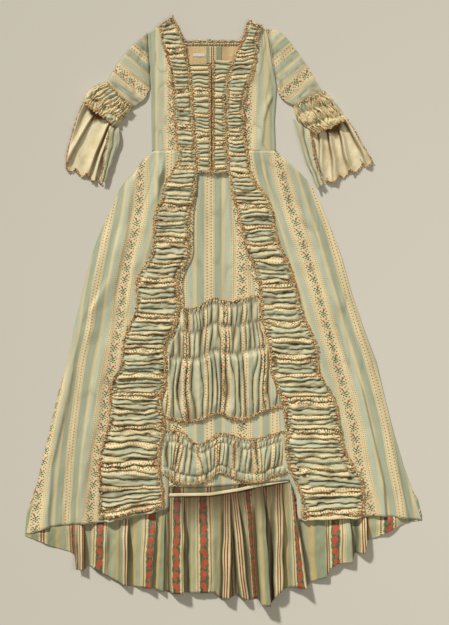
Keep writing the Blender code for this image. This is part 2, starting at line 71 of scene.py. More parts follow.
shoulder = {"x": [-218, -184, -145, -116, 57, 76, 112, 126], "drop": [46, 28, 0, 70, 70, 12, 26, 34]}
frontHem = {
    "left": {"x": [-574, -556, -530, -500, -450, -400, -365, -300, -250, -200, -158],
             "drop": [1499, 1500, 1490, 1479, 1472, 1470, 1466, 1458, 1447, 1436, 1424]},
    "right": {"x": [214, 300, 350, 410, 480, 520, 577],
              "drop": [1457, 1457, 1452, 1447, 1448, 1454, 1459]}}
petticoatHem = {"x": [-330, -38, 113, 330], "drop": [1364, 1362, 1351, 1330]}
underHem = {"x": [-330, -158, -38, 44, 109, 200, 330],
            "drop": [1392, 1390, 1388, 1375, 1361, 1345, 1335]}
trainHem = {
    "x": [-574, -530, -491, -450, -432, -424, -400, -392, -378, -345, -315, -288, -270, -222, -200,
          -175, -142, -110, -20, -8, 18, 40, 75, 98, 112, 138, 148, 168, 192, 215, 240, 256, 300,
          308, 330, 375, 384, 408, 418, 440, 480, 530, 577],
    "drop": [1505, 1520, 1536, 1549, 1558, 1600, 1602, 1590, 1594, 1612, 1630, 1643, 1650, 1652,
             1655, 1664, 1668, 1668, 1667, 1683, 1684, 1674, 1690, 1684, 1702, 1702, 1682, 1662,
             1652, 1650, 1654, 1636, 1621, 1598, 1584, 1579, 1552, 1552, 1518, 1510, 1491, 1466,
             1459]}
# the stripes' repeat across the silk, and the sprigs' along it
repeat = 185.0
halfRepeat = repeat / 2
sprigPitch = 33.0
perMetre = 1000.0


def follow(table, column, at, key="drop"):
    # smooth line through the table's rows
    keys = np.asarray(table[key], float)
    values = np.asarray(table[column], float)
    slopes = np.gradient(values, keys)
    at = np.clip(np.asarray(at, float), keys[0], keys[-1])
    spot = np.clip(np.searchsorted(keys, at, side="right") - 1, 0, len(keys) - 2)
    span = keys[spot + 1] - keys[spot]
    t = (at - keys[spot]) / span
    return ((2 * t ** 3 - 3 * t ** 2 + 1) * values[spot] + (t ** 3 - 2 * t ** 2 + t) * span * slopes[spot]
            + (3 * t ** 2 - 2 * t ** 3) * values[spot + 1] + (t ** 3 - t ** 2) * span * slopes[spot + 1])


def straight(table, column, at, key="drop"):
    return np.interp(at, table[key], table[column])


def ease(t):
    t = np.clip(t, 0.0, 1.0)
    return t * t * (3 - 2 * t)


def mix(first, last, t):
    return first + (last - first) * t


def softNoise(x, y, cellX, cellY, seed):
    # smooth random cloth unevenness between -1 and 1
    dice = np.random.RandomState(seed).rand(61, 61) * 2 - 1
    gx = np.asarray(x) / cellX + 400.0
    gy = np.asarray(y) / cellY + 400.0
    ix = np.floor(gx).astype(int)
    iy = np.floor(gy).astype(int)
    fx = ease(gx - ix)
    fy = ease(gy - iy)
    a = dice[ix % 61, iy % 61]
    b = dice[(ix + 1) % 61, iy % 61]
    c = dice[ix % 61, (iy + 1) % 61]
    d = dice[(ix + 1) % 61, (iy + 1) % 61]
    return mix(mix(a, b, fx), mix(c, d, fx), fy)


def puff(phase, sharp=0.75):
    # rounded swellings with narrow valleys, one for each whole number
    return np.abs(np.sin(np.pi * phase)) ** sharp


def crease(distance, width):
    return np.exp(-(distance / width) ** 2)


def only(item):
    bpy.ops.object.select_all(action="DESELECT")
    item.select_set(True)
    bpy.context.view_layer.objects.active = item


def moveToGown(points):
    # millimetres across, drop and height, to metres in the frame
    placed = np.empty_like(points)
    placed[:, 0] = (points[:, 0] - gown["middle"]) * 0.001
    placed[:, 1] = (gown["length"] / 2 - points[:, 1]) * 0.001
    placed[:, 2] = points[:, 2] * 0.001
    return placed


def layCloth(name, columns, rows, shape, finishes, slotName, nodes, thick=None, tube=False):
    # shape(a, b) takes fractions across and down, and gives x, drop, height, u and v in millimetres
    # and, where it has gathers, how much painted shade each point takes, more the deeper it lies in a crease
    bpy.ops.object.select_all(action="DESELECT")
    bpy.ops.mesh.primitive_grid_add(x_subdivisions=columns, y_subdivisions=rows, size=1.0)
    cloth = bpy.context.active_object
    cloth.name = name
    mesh = cloth.data
    mesh.name = name
    flat = np.empty(len(mesh.vertices) * 3)
    mesh.vertices.foreach_get("co", flat)
    flat = flat.reshape(-1, 3)
    a = np.round((flat[:, 0] + 0.5) * columns) / columns
    b = 1 - np.round((flat[:, 1] + 0.5) * rows) / rows
    parts = list(shape(a, b)) + [0.0]
    x, drop, height, u, v, shade = [np.broadcast_to(np.asarray(part, float), a.shape) for part in parts[:6]]
    mesh.vertices.foreach_set("co", moveToGown(np.stack([x, drop, height], 1)).ravel())
    corner = np.empty(len(mesh.loops), np.int32)
    mesh.loops.foreach_get("vertex_index", corner)
    layerUv = mesh.uv_layers[0] if mesh.uv_layers else mesh.uv_layers.new(name="cloth")
    layerUv.name = "cloth"
    layerUv.data.foreach_set("uv", (np.stack([u, v], 1) * 0.001)[corner].ravel())
    mesh.polygons.foreach_set("use_smooth", np.ones(len(mesh.polygons), bool))
    # the crease attribute carries painted shade into the cloth materials
    creaseShade = mesh.attributes.new("crease", "FLOAT", "POINT")
    creaseShade.data.foreach_set("value", np.clip(shade, 0, 1))
    mesh.update()
    keepCut(name, columns, rows, u, v)
    if tube:
        closeTube(cloth)
    else:
        turnUp(cloth)
    for finish in finishes:
        mesh.materials.append(finish)
    shell = cloth.modifiers.new("thickness", "SOLIDIFY")
    shell.thickness = (gown["thick"] if thick is None else thick) * 0.001
    shell.offset = -1.0
    shell.use_rim = True
    if len(finishes) > 1:
        shell.material_offset = 1
    only(cloth)
    bpy.ops.object.modifier_apply(modifier=shell.name)
    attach(cloth, "root")
    if nodes:
        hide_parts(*nodes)
    return cloth


def layPair(name, piece, shapeOf, finishes, slotName, node, **extra):
    # the same piece for the left and for the right
    return [layCloth(name + side.title(), piece["columns"], piece["rows"], shapeOf(side), finishes,
                     slotName, [node + side], **extra) for side in ("left", "right")]


def turnUp(cloth):
    # the right side of the sheet faces up, so its thickness goes down
    mesh = cloth.data
    normals = np.empty(len(mesh.polygons) * 3)
    mesh.polygons.foreach_get("normal", normals)
    if normals.reshape(-1, 3)[:, 2].sum() < 0:
        mesh.flip_normals()


def dye(red, green, blue):
    # a colour card value, 0 to 255, as a shader colour
    parts = [part / 255 for part in (red, green, blue)]
    return tuple(p / 12.92 if p <= 0.04045 else ((p + 0.055) / 1.055) ** 2.4 for p in parts) + (1.0,)


silkDyes = {"cream": dye(222, 207, 162), "paleBlue": dye(185, 190, 163), "straw": dye(211, 195, 148),
            "blueGreen": dye(167, 172, 144), "dot": dye(146, 114, 64), "redDot": dye(166, 112, 60),
            "flower": dye(192, 84, 42), "bud": dye(202, 116, 60), "leaf": dye(78, 92, 58),
            "tealLeaf": dye(88, 110, 84), "stem": dye(106, 78, 46)}
# every sprig: across and along the cloth from its middle, half width, half length, which dye
sprigSpots = [(5.6, -9.0, 3.3, 3.2, "flower"), (11.4, -13.0, 2.3, 2.1, "bud"),
              (2.4, -4.2, 1.6, 3.4, "leaf"), (-1.8, -0.4, 3.5, 1.7, "leaf"),
              (-6.6, -4.2, 3.4, 1.9, "tealLeaf"), (0.2, 3.8, 1.6, 3.3, "leaf"),
              (5.8, 1.6, 3.6, 1.6, "leaf"), (-5.2, 6.0, 3.4, 1.8, "leaf"),
              (4.6, 8.2, 3.2, 1.7, "tealLeaf"), (-1.8, 11.2, 2.6, 2.2, "leaf"),
              (-11.0, 1.4, 2.6, 1.6, "leaf"), (11.6, 5.4, 2.6, 1.6, "stem"),
              (-12.0, -10.2, 2.2, 2.0, "bud"), (-9.4, 12.6, 2.1, 1.8, "stem"),
              (12.8, -4.0, 2.4, 1.5, "leaf"), (8.4, 14.2, 2.0, 1.8, "flower"),
              (-4.4, -14.2, 2.4, 1.6, "tealLeaf")]
wrongDyes = {"cream": dye(206, 190, 142), "paleBlue": dye(162, 165, 132), "straw": dye(190, 167, 112),
             "blueGreen": dye(142, 147, 114), "red": dye(180, 76, 44), "green": dye(62, 82, 58),
             "paleGreen": dye(110, 112, 74), "brown": dye(84, 48, 28), "dot": dye(130, 98, 58)}


def feed(tree, value, socket):
    if isinstance(value, bpy.types.NodeSocket):
        tree.links.new(value, socket)
    else:
        socket.default_value = value


def calc(tree, operation, *values):
    node = tree.nodes.new("ShaderNodeMath")
    node.operation = operation
    for spot, value in enumerate(values):
        feed(tree, value, node.inputs[spot])
    return node.outputs[0]


def times(tree, first, second):
    return calc(tree, "MULTIPLY", first, second)


def plus(tree, first, second):
    return calc(tree, "ADD", first, second)


def less(tree, first, second):
    return calc(tree, "SUBTRACT", first, second)


def mixDye(tree, factor, first, second, how="MIX"):
    node = tree.nodes.new("ShaderNodeMix")
    node.data_type = "RGBA"
    node.blend_type = how
    feed(tree, factor, node.inputs[0])
    feed(tree, first, node.inputs[6])
    feed(tree, second, node.inputs[7])
    return node.outputs[2]


def dyeRamp(tree, value, stops):
    node = tree.nodes.new("ShaderNodeValToRGB")
    bar = node.color_ramp
    bar.elements[0].position, bar.elements[0].color = stops[0]
    bar.elements[1].position, bar.elements[1].color = stops[-1]
    for position, colour in stops[1:-1]:
        bar.elements.new(position).color = colour
    feed(tree, value, node.inputs[0])
    return node.outputs[0]


def vectorOf(tree, x, y, z=0.0):
    node = tree.nodes.new("ShaderNodeCombineXYZ")
    for spot, value in enumerate((x, y, z)):
        feed(tree, value, node.inputs[spot])
    return node.outputs[0]


def stretched(tree, across, along, scaleAcross, scaleAlong):
    return vectorOf(tree, times(tree, across, scaleAcross), times(tree, along, scaleAlong))


def noiseOf(tree, vector, scale, detail=2.0, roughness=0.5):
    node = tree.nodes.new("ShaderNodeTexNoise")
    node.inputs["Scale"].default_value = scale
    node.inputs["Detail"].default_value = detail
    node.inputs["Roughness"].default_value = roughness
    feed(tree, vector, node.inputs["Vector"])
    return node.outputs[0]


def softStep(tree, value, low, high, first=0.0, last=1.0):
    node = tree.nodes.new("ShaderNodeMapRange")
    node.interpolation_type = "SMOOTHSTEP"
    limits = {"Value": value, "From Min": low, "From Max": high, "To Min": first, "To Max": last}
    for spot, part in limits.items():
        feed(tree, part, node.inputs[spot])
    return node.outputs[0]


def makeGroup(name, inputs, outputs):
    group = bpy.data.node_groups.new(name, "ShaderNodeTree")
    for label, kind, value in inputs:
        socket = group.interface.new_socket(label, in_out="INPUT", socket_type=kind)
        if value is not None:
            socket.default_value = value
    for label, kind in outputs:
        group.interface.new_socket(label, in_out="OUTPUT", socket_type=kind)
    return group, group.nodes.new("NodeGroupInput").outputs, group.nodes.new("NodeGroupOutput").inputs


def place(tree, group, **values):
    node = tree.nodes.new("ShaderNodeGroup")
    node.node_tree = group
    for label, value in values.items():
        feed(tree, value, node.inputs[label])
    return node.outputs


def shaded(tree, colour, shade):
    return mixDye(tree, 1.0, colour, vectorOf(tree, shade, shade, shade), "MULTIPLY")


number = "NodeSocketFloat"
alongCloth = [("Across", number, 0.0), ("Along", number, 0.0)]
dyedRelief = [("Colour", "NodeSocketColor"), ("Height", number)]


def makeSpotGroup():
    # one woven spot: 1 inside an oval, 0 outside
    tree, given, result = makeGroup(
        "woven spot",
        alongCloth + [("MiddleAcross", number, 0.0), ("MiddleAlong", number, 0.0),
                      ("HalfWidth", number, 2.0), ("HalfLength", number, 2.0)],
        [("Mask", number)])
    x = calc(tree, "DIVIDE", calc(tree, "SUBTRACT", given[0], given[2]), given[4])
    y = calc(tree, "DIVIDE", calc(tree, "SUBTRACT", given[1], given[3]), given[5])
    away = calc(tree, "ADD", calc(tree, "MULTIPLY", x, x), calc(tree, "MULTIPLY", y, y))
    feed(tree, softStep(tree, away, 1.35, 0.75), result[0])
    return tree


def makeWeaveGroup():
    # ribbed taffeta: uneven threads as a shade and the ribs as a height
    tree, given, result = makeGroup("taffeta weave", alongCloth, [("Shade", number), ("Height", number)])
    streak = noiseOf(tree, stretched(tree, given[0], given[1], 0.9, 0.012), 1.0, 3.0, 0.6)
    slub = noiseOf(tree, stretched(tree, given[0], given[1], 0.03, 0.8), 1.0, 2.0)
    cloud = noiseOf(tree, stretched(tree, given[0], given[1], 0.012, 0.008), 1.0, 3.0)
    shade = plus(tree, times(tree, streak, 0.32), times(tree, slub, 0.14))
    shade = plus(tree, shade, times(tree, cloud, 0.30))
    feed(tree, plus(tree, shade, 0.62), result[0])
    ribPitch = 1.1
    threadPitch = 0.7
    ribs = calc(tree, "SINE", times(tree, given[1], 2 * math.pi / ribPitch))
    threads = calc(tree, "SINE", times(tree, given[0], 2 * math.pi / threadPitch))
    feed(tree, plus(tree, times(tree, ribs, 0.5), times(tree, threads, 0.22)), result[1])
    return tree


def stripeParts(tree, given, raggedness):
    # millimetres across and along, the distance from the flowered stripe and the side of it
    across = times(tree, given[0], perMetre)
    along = times(tree, given[1], perMetre)
    ragged = noiseOf(tree, vectorOf(tree, across, along), 0.35, 1.0)
    ragged = times(tree, less(tree, ragged, 0.5), raggedness)
    across = plus(tree, across, ragged)
    fromFlower = calc(tree, "PINGPONG", across, halfRepeat)
    signed = calc(tree, "WRAP", across, halfRepeat, -halfRepeat)
    return across, along, fromFlower, signed


def rowOfDots(tree, fromFlower, along, row, pitch, radius, shift=0.0):
    beat = calc(tree, "WRAP", plus(tree, along, shift), pitch / 2, -pitch / 2)
    return place(tree, spotGroup, Across=fromFlower, Along=beat, MiddleAcross=row, MiddleAlong=0.0,
                 HalfWidth=radius, HalfLength=radius)[0]


def stripeStops(dyes):
    edges = [(0, "cream"), (30.2, "cream"), (31.8, "paleBlue"), (45, "paleBlue"), (50, "straw"),
             (55, "straw"), (60, "blueGreen"), (77.2, "blueGreen"), (78.8, "cream"), (halfRepeat, "cream")]
    return [(at / halfRepeat, dyes[name]) for at, name in edges]


def makeSilkGroup():
    tree, given, result = makeGroup("striped silk", alongCloth, dyedRelief)
    across, along, fromFlower, signed = stripeParts(tree, given, 1.6)
    weave = place(tree, weaveGroup, Across=across, Along=along)
    colour = dyeRamp(tree, calc(tree, "DIVIDE", fromFlower, halfRepeat), stripeStops(silkDyes))
    for row, pitch, radius in ((24.0, 5.5, 1.2), (29.0, 5.5, 1.2), (18.6, 8.0, 0.9)):
        dots = rowOfDots(tree, fromFlower, along, row, pitch, radius)
        colour = mixDye(tree, dots, colour, silkDyes["dot"])
    # the red dots on either side of a band are staggered
    stagger = times(tree, calc(tree, "GREATER_THAN", signed, 0.0), 4.5)
    redDots = rowOfDots(tree, fromFlower, along, 86.6, 9.0, 1.9, stagger)
    colour = mixDye(tree, redDots, colour, silkDyes["redDot"])
    colour = mixDye(tree, rowOfDots(tree, fromFlower, along, 80.6, 5.5, 1.1), colour, silkDyes["dot"])
    # each sprig is a mirror of the last
    count = calc(tree, "FLOOR", calc(tree, "DIVIDE", plus(tree, along, sprigPitch / 2), sprigPitch))
    odd = calc(tree, "MODULO", calc(tree, "ABSOLUTE", count), 2.0)
    turn = less(tree, 1.0, times(tree, odd, 2.0))
    sprigAcross = times(tree, signed, turn)
    sprigAlong = calc(tree, "WRAP", along, sprigPitch / 2, -sprigPitch / 2)
    for x, y, wide, high, name in sprigSpots:
        spot = place(tree, spotGroup, Across=sprigAcross, Along=sprigAlong, MiddleAcross=x,
                     MiddleAlong=y, HalfWidth=wide, HalfLength=high)[0]
        colour = mixDye(tree, spot, colour, silkDyes[name])
    feed(tree, shaded(tree, colour, weave[0]), result[0])
    feed(tree, weave[1], result[1])
    return tree


def makeWrongSideGroup():
    tree, given, result = makeGroup("striped silk wrong side", alongCloth, dyedRelief)
    across, along, fromFlower, signed = stripeParts(tree, given, 2.0)
    weave = place(tree, weaveGroup, Across=across, Along=along)
    colour = dyeRamp(tree, calc(tree, "DIVIDE", fromFlower, halfRepeat), stripeStops(wrongDyes))
    # floats of the flowers: a green ground broken by red patches
    broken = noiseOf(tree, stretched(tree, across, along, 0.22, 0.11), 1.0, 1.0)
    columnEdge = plus(tree, 13.0, times(tree, less(tree, broken, 0.5), 12.0))
    inside = softStep(tree, less(tree, columnEdge, fromFlower), 0.0, 1.2)
    green = mixDye(tree, softStep(tree, broken, 0.42, 0.62), wrongDyes["green"], wrongDyes["paleGreen"])
    colour = mixDye(tree, inside, colour, green)
    count = calc(tree, "FLOOR", calc(tree, "DIVIDE", along, sprigPitch))
    sway = times(tree, calc(tree, "SINE", times(tree, count, 2.1)), 2.6)
    redAcross = plus(tree, signed, sway)
    redAlong = calc(tree, "WRAP", along, sprigPitch / 2, -sprigPitch / 2)
    for middle, wide, high in ((-4.0, 8.4, 9.0), (10.0, 5.2, 5.0)):
        red = place(tree, spotGroup, Across=redAcross, Along=redAlong, MiddleAcross=0.0, MiddleAlong=middle,
                    HalfWidth=wide, HalfLength=high)[0]
        colour = mixDye(tree, red, colour, wrongDyes["red"])
    for row, pitch, radius, name in ((20.0, 6.0, 2.2, "brown"), (28.0, 5.5, 1.2, "dot")):
        dots = rowOfDots(tree, fromFlower, along, row, pitch, radius)
        colour = mixDye(tree, dots, colour, wrongDyes[name])
    line = softStep(tree, calc(tree, "ABSOLUTE", less(tree, fromFlower, 88.6)), 2.4, 1.4)
    colour = mixDye(tree, line, colour, wrongDyes["brown"])
    for row, pitch, radius, name in ((88.6, 7.0, 1.6, "red"), (80.0, 5.5, 1.3, "brown")):
        dots = rowOfDots(tree, fromFlower, along, row, pitch, radius)
        colour = mixDye(tree, dots, colour, wrongDyes[name])
    feed(tree, shaded(tree, colour, weave[0]), result[0])
    feed(tree, weave[1], result[1])
    return tree


def makeLinenGroup():
    tree, given, result = makeGroup(
        "linen weave", alongCloth + [("Thread", number, 0.8), ("Light", "NodeSocketColor", (1, 1, 1, 1)),
                                     ("Dark", "NodeSocketColor", (0, 0, 0, 1))], dyedRelief)
    across = times(tree, given[0], perMetre)
    along = times(tree, given[1], perMetre)
    flecks = noiseOf(tree, stretched(tree, across, along, 0.9, 0.14), 1.0, 3.0)
    stains = noiseOf(tree, stretched(tree, across, along, 0.02, 0.016), 1.0, 4.0)
    amount = plus(tree, times(tree, flecks, 0.45), times(tree, stains, 0.75))
    feed(tree, mixDye(tree, softStep(tree, amount, 0.42, 0.85), given[3], given[4]), result[0])
    warp = calc(tree, "SINE", calc(tree, "DIVIDE", times(tree, across, 2 * math.pi), given[2]))
    weft = calc(tree, "SINE", calc(tree, "DIVIDE", times(tree, along, 2 * math.pi), given[2]))
    feed(tree, plus(tree, times(tree, warp, weft), times(tree, flecks, 0.8)), result[1])
    return tree


def newMaterial(name, roughness, sheen, reliefDepth, reliefStrength):
    made = bpy.data.materials.new(name)
    made.use_nodes = True
    tree = made.node_tree
    shader = tree.nodes["Principled BSDF"]
    shader.inputs["Roughness"].default_value = roughness
    shader.inputs["Specular IOR Level"].default_value = 0.35
    shader.inputs["Sheen Weight"].default_value = sheen
    shader.inputs["Sheen Roughness"].default_value = 0.45
    bump = tree.nodes.new("ShaderNodeBump")
    bump.inputs["Distance"].default_value = reliefDepth
    bump.inputs["Strength"].default_value = reliefStrength
    feed(tree, bump.outputs[0], shader.inputs["Normal"])
    uv = tree.nodes.new("ShaderNodeUVMap")
    uv.uv_map = "cloth"
    parts = tree.nodes.new("ShaderNodeSeparateXYZ")
    feed(tree, uv.outputs[0], parts.inputs[0])
    return made, tree, shader, bump, parts.outputs


def makeClothMaterial(name, group, roughness=0.5, sheen=0.12, tint=None, depth=0.00025, strength=0.35,
                      **extra):
    made, tree, shader, bump, parts = newMaterial(name, roughness, sheen, depth, strength)
    cloth = place(tree, group, Across=parts[0], Along=parts[1], **extra)
    colour = cloth[0]
    if tint:
        colour = mixDye(tree, 1.0, colour, tint, "MULTIPLY")
    # painted shade in the creases: a warm brown multiplied into the colour by the crease attribute
    crease = tree.nodes.new("ShaderNodeAttribute")
    crease.attribute_name = "crease"
    paintedShade = mixDye(tree, 1.0, colour, dye(122, 94, 54), "MULTIPLY")
    feed(tree, mixDye(tree, crease.outputs["Fac"], colour, paintedShade), shader.inputs["Base Color"])
    feed(tree, cloth[1], bump.inputs["Height"])
    return made


def makeBraidMaterial():
    # silk floss dyed tuft by tuft, carried by the vertices
    made, tree, shader, bump = newMaterial("flyBraid", 0.62, 0.25, 0.0006, 0.7)[:4]
    floss = tree.nodes.new("ShaderNodeAttribute")
    floss.attribute_name = "floss"
    position = tree.nodes.new("ShaderNodeTexCoord")
    threads = noiseOf(tree, position.outputs["Object"], 900.0, 2.0)
    shade = softStep(tree, threads, 0.25, 0.75, 0.72, 1.12)
    feed(tree, shaded(tree, floss.outputs["Color"], shade), shader.inputs["Base Color"])
    feed(tree, threads, bump.inputs["Height"])
    return made


spotGroup = makeSpotGroup()
weaveGroup = makeWeaveGroup()
silkGroup = makeSilkGroup()
wrongSideGroup = makeWrongSideGroup()
linenGroup = makeLinenGroup()
silk = makeClothMaterial("stripedSilk", silkGroup)
ruchedSilk = makeClothMaterial("ruchedSilk", silkGroup, 0.46, 0.14, (1.0, 0.97, 0.90, 1.0))
wrongSide = makeClothMaterial("stripedSilkWrongSide", wrongSideGroup, 0.52)
linen = makeClothMaterial("creamLining", linenGroup, 0.6, 0.1, None, 0.0003, 0.3, Thread=0.8,
                          Light=dye(234, 223, 186), Dark=dye(202, 183, 134))
neckLinen = makeClothMaterial("neckLining", linenGroup, 0.7, 0.1, None, 0.0004, 0.5, Thread=1.0,
                              Light=dye(222, 194, 144), Dark=dye(190, 156, 104))
tapeCloth = makeClothMaterial("cottonTape", linenGroup, 0.75, 0.05, None, 0.0003, 0.5, Thread=0.7,
                              Light=dye(226, 222, 208), Dark=dye(206, 200, 180))
flyBraid = makeBraidMaterial()
print("finishes made")

cuts = {}


def keepCut(name, columns, rows, u, v):
    # width, length and area of the flat piece, from its thread coordinates
    order = np.stack([u, v], 1).reshape(rows + 1, columns + 1, 2) * 0.001
    one = order[1:, 1:] - order[:-1, :-1]
    two = order[1:, :-1] - order[:-1, 1:]
    area = np.abs(one[..., 0] * two[..., 1] - one[..., 1] * two[..., 0]).sum() / 2
    span = order.reshape(-1, 2).max(0) - order.reshape(-1, 2).min(0)
    cuts[name] = (float(span[0]), float(span[1]), float(area))


def declareCut(cloth):
    wide, long, area = cuts[cloth.name]
    wide, long = math.ceil(wide * 200) / 200, math.ceil(long * 200) / 200
    part = min(1.0, max(0.3, area / (wide * long)))
    area = part * wide * long
    print("cut", cloth.name, wide, long, round(area, 4))


def nearLine(x, drop, line, fade):
    # distance across from a fold's line, and how far in from its ends
    line = np.asarray(line, float)
    away = x - np.interp(drop, line[:, 1], line[:, 0])
    ends = ease((drop - line[0, 1]) / fade[0]) * ease((line[-1, 1] - drop) / fade[1])
    return away, ends


def foldsHigh(x, drop, folds):
    total = 0.0
    for fold in folds:
        away, ends = nearLine(x, drop, fold["line"], fold.get("fade", (90, 60)))
        crisp = min(fold["wide"])
        left, right = [part * (0.6 if part == crisp else 1.0) for part in fold["wide"]]
        wide = np.where(away < 0, left, right)
        total = total + fold["high"] * ends * np.exp(-(away / wide) ** 2)
    return total


def outward(side):
    return -1.0 if side == "left" else 1.0


def innerEdge(side, drop):
    return follow(robingEdges[side], "inner", drop)


def outerEdge(side, drop):
    return follow(robingEdges[side], "outer", drop)


def sideEdge(side, drop):
    return straight(bodySides, side, drop)


# where the stripes of each skirt front run: middles of two flowered stripes and the dotted one between
stripeDrops = [*range(400, 1401, 50), 1470]
skirtStripes = {
    "left": {"drop": stripeDrops,
             "floral": [-238, -240, -242, -243, -250, -262, -275, -283, -290, -295, -300, -312, -320,
                        -330, -338, -345, -350, -360, -368, -374, -383, -388],
             "dotted": [-300, -305, -312, -322, -333, -343, -352, -362, -372, -380, -388, -400, -412,
                        -419, -425, -431, -437, -441, -445, -447, -450, -452],
             "second": [-372, -378, -385, -396, -408, -418, -426, -434, -442, -448, -452, -457, -462,
                        -470, -479, -491, -502, -512, -522, -531, -538, -545]},
    "right": {"drop": stripeDrops,
              "floral": [160, 168, 182, 195, 212, 228, 243, 258, 275, 287, 300, 315, 328, 342, 355, 367,
                         380, 386, 394, 406, 422, 436],
              "dotted": [240, 250, 265, 283, 302, 317, 332, 346, 360, 375, 390, 408, 425, 439, 452, 464,
                         475, 484, 492, 502, 511, 518],
              "second": [325, 338, 354, 373, 392, 407, 422, 436, 450, 466, 482, 500, 517, 531, 544, 556,
                         567, 576, 584, 594, 603, 610]}}


def stripeAt(side, x, drop):
    stripes = skirtStripes[side]
    way = outward(side)
    first = follow(stripes, "floral", drop)
    dotted = (follow(stripes, "dotted", drop) - first) * way
    second = (follow(stripes, "second", drop) - first) * way
    away = (x - first) * way
    half = repeat / 2
    return np.where(away < 0, away * 1.1, np.where(away < dotted, away / dotted * half,
                    np.where(away < second, half + (away - dotted) / (second - dotted) * half,
                             repeat + (away - second))))


skirt = {
    "columns": 100, "rows": 140, "lap": 12.0, "leastLap": 2.0, "hidden": 0.16, "sideHigh": 2.8,
    "hemRow": 1460.0, "edgeFoot": 1500.0, "least": 2.2,
    "folds": {
        "left": [
            {"line": [(-300, 600), (-330, 760), (-380, 850), (-392, 960)], "wide": (10, 26), "high": 8},
            {"line": [(-345, 900), (-366, 1050), (-386, 1150), (-405, 1250), (-415, 1350), (-405, 1500)],
             "wide": (9, 30), "high": 10, "fade": (120, 10)},
            {"line": [(-262, 470), (-282, 620), (-318, 800), (-330, 1000)], "wide": (22, 14), "high": 4},
            {"line": [(-420, 900), (-452, 1100), (-498, 1300), (-510, 1500)], "wide": (26, 12), "high": 6,
             "fade": (160, 10)},
            {"line": [(-318, 560), (-362, 720), (-410, 900)], "wide": (10, 16), "high": 3.5},
            {"line": [(-250, 640), (-262, 760), (-300, 900)], "wide": (8, 18), "high": 3},
            {"line": [(-198, 392), (-188, 430), (-184, 530)], "wide": (6, 11), "high": 7, "fade": (14, 60)},
            {"line": [(-170, 394), (-174, 440), (-198, 570)], "wide": (10, 6), "high": 6, "fade": (14, 60)}],
        "right": [
            {"line": [(372, 1000), (400, 1080), (428, 1200), (462, 1350), (472, 1500)], "wide": (26, 8),
             "high": 10, "fade": (120, 10)},
            {"line": [(196, 560), (262, 760), (300, 900), (330, 1040)], "wide": (20, 10), "high": 4},
            {"line": [(330, 760), (398, 980), (470, 1200), (520, 1500)], "wide": (12, 30), "high": 6,
             "fade": (160, 10)},
            {"line": [(262, 560), (330, 720), (392, 900), (430, 1060)], "wide": (10, 18), "high": 3.5},
            {"line": [(152, 404), (170, 470), (192, 560)], "wide": (7, 10), "high": 5, "fade": (14, 60)},
            {"line": [(112, 400), (124, 470), (150, 545), (200, 668)], "wide": (6, 10), "high": 5,
             "fade": (14, 60)},
            {"line": [(330, 1180), (368, 1300), (398, 1460)], "wide": (14, 10), "high": 4}]}}


def skirtShape(side):
    way = outward(side)

    def shape(a, b):
        row = gown["waist"] + (skirt["hemRow"] - gown["waist"]) * b
        lap = skirt["leastLap"] + (skirt["lap"] - skirt["leastLap"]) * ease((row - 500.0) / 100.0)
        inner = innerEdge(side, row) - way * lap
        first = outerEdge(side, row)
        end = sideEdge(side, np.where(b > 0.999, skirt["edgeFoot"], row))
        # the first columns lie under the robing
        hidden = skirt["hidden"]
        shown = (a - hidden) / (1 - hidden)
        x = np.where(a < hidden, mix(inner, first, a / hidden), mix(first, end, shown))
        hem = np.interp(x, frontHem[side]["x"], frontHem[side]["drop"])
        drop = mix(row, hem - (skirt["hemRow"] - row), ease((row - 1100.0) / 360.0))
        outerPart = np.clip((x - first) / (end - first), 0, 1)
        high = mix(layer["front"], 4.6, ease(outerPart * 2.2))
        high = mix(high, skirt["sideHigh"], ease((outerPart - 0.75) * 4))
        free = ease(np.abs(x - first) / 30.0) * ease(np.abs(end - x) / 22.0) * (outerPart > 0)
        high = high + free * 1.25 * foldsHigh(x, drop, skirt["folds"][side])
        slack = softNoise(x - 0.22 * way * drop, drop, 40, 230, 5)
        small = softNoise(x - 0.2 * way * drop, drop, 15, 95, 6)
        high = high + free * (3.0 * slack + 1.5 * small + 1.0 * softNoise(x + 0.3 * drop, drop, 60, 34, 7))
        # thin creases wander down it between the soft swells
        thin = crease(slack, 0.09) + 0.7 * crease(small, 0.10)
        thin = thin * ease(0.5 + 1.5 * softNoise(x, drop, 90, 120, 9))
        high = high - free * 1.3 * thin
        shade = free * np.clip(0.10 * ease(-1.7 * slack) + 0.26 * thin, 0, 1)
        # at the waist it meets the bodice at the same height
        fromSide = np.abs(x - sideEdge(side, gown["waist"]))
        atWaist = mix(skirt["sideHigh"], layer["front"], ease(fromSide / 40.0))
        high = mix(atWaist, high, ease(b * 14))
        # the long edge dips, so that it reads as a fold
        high = high - 2.2 * ease(1 - np.abs(end - x) / 9.0)
        high = np.maximum(high, skirt["least"])
        return x, drop, high, stripeAt(side, x, drop), drop * 1.0, shade

    return shape


def makeSkirtFronts():
    return layPair("silkSkirtFront", skirt, skirtShape, [silk, wrongSide], "silk", "skirt_front_")


bodice = {"columns": 44, "rows": 90,
          "stripes": {"left": ([-200, -183, -150, -120], [62, 44, 0, -34]),
                      "right": ([40, 70, 100, 115, 140, 156], [-32, 0, 32, 47, 60, 78])},
          "folds": {"left": [{"line": [(-196, 150), (-186, 240), (-192, 386)], "wide": (8, 12), "high": 2.6},
                             {"line": [(-170, 60), (-166, 160), (-160, 300)], "wide": (7, 8), "high": 1.6}],
                    "right": [{"line": [(150, 215), (128, 262), (118, 300), (112, 386)], "wide": (12, 6),
                               "high": 4.5, "fade": (30, 40)},
                              {"line": [(108, 60), (104, 160), (92, 320)], "wide": (7, 8), "high": 1.8}]}}


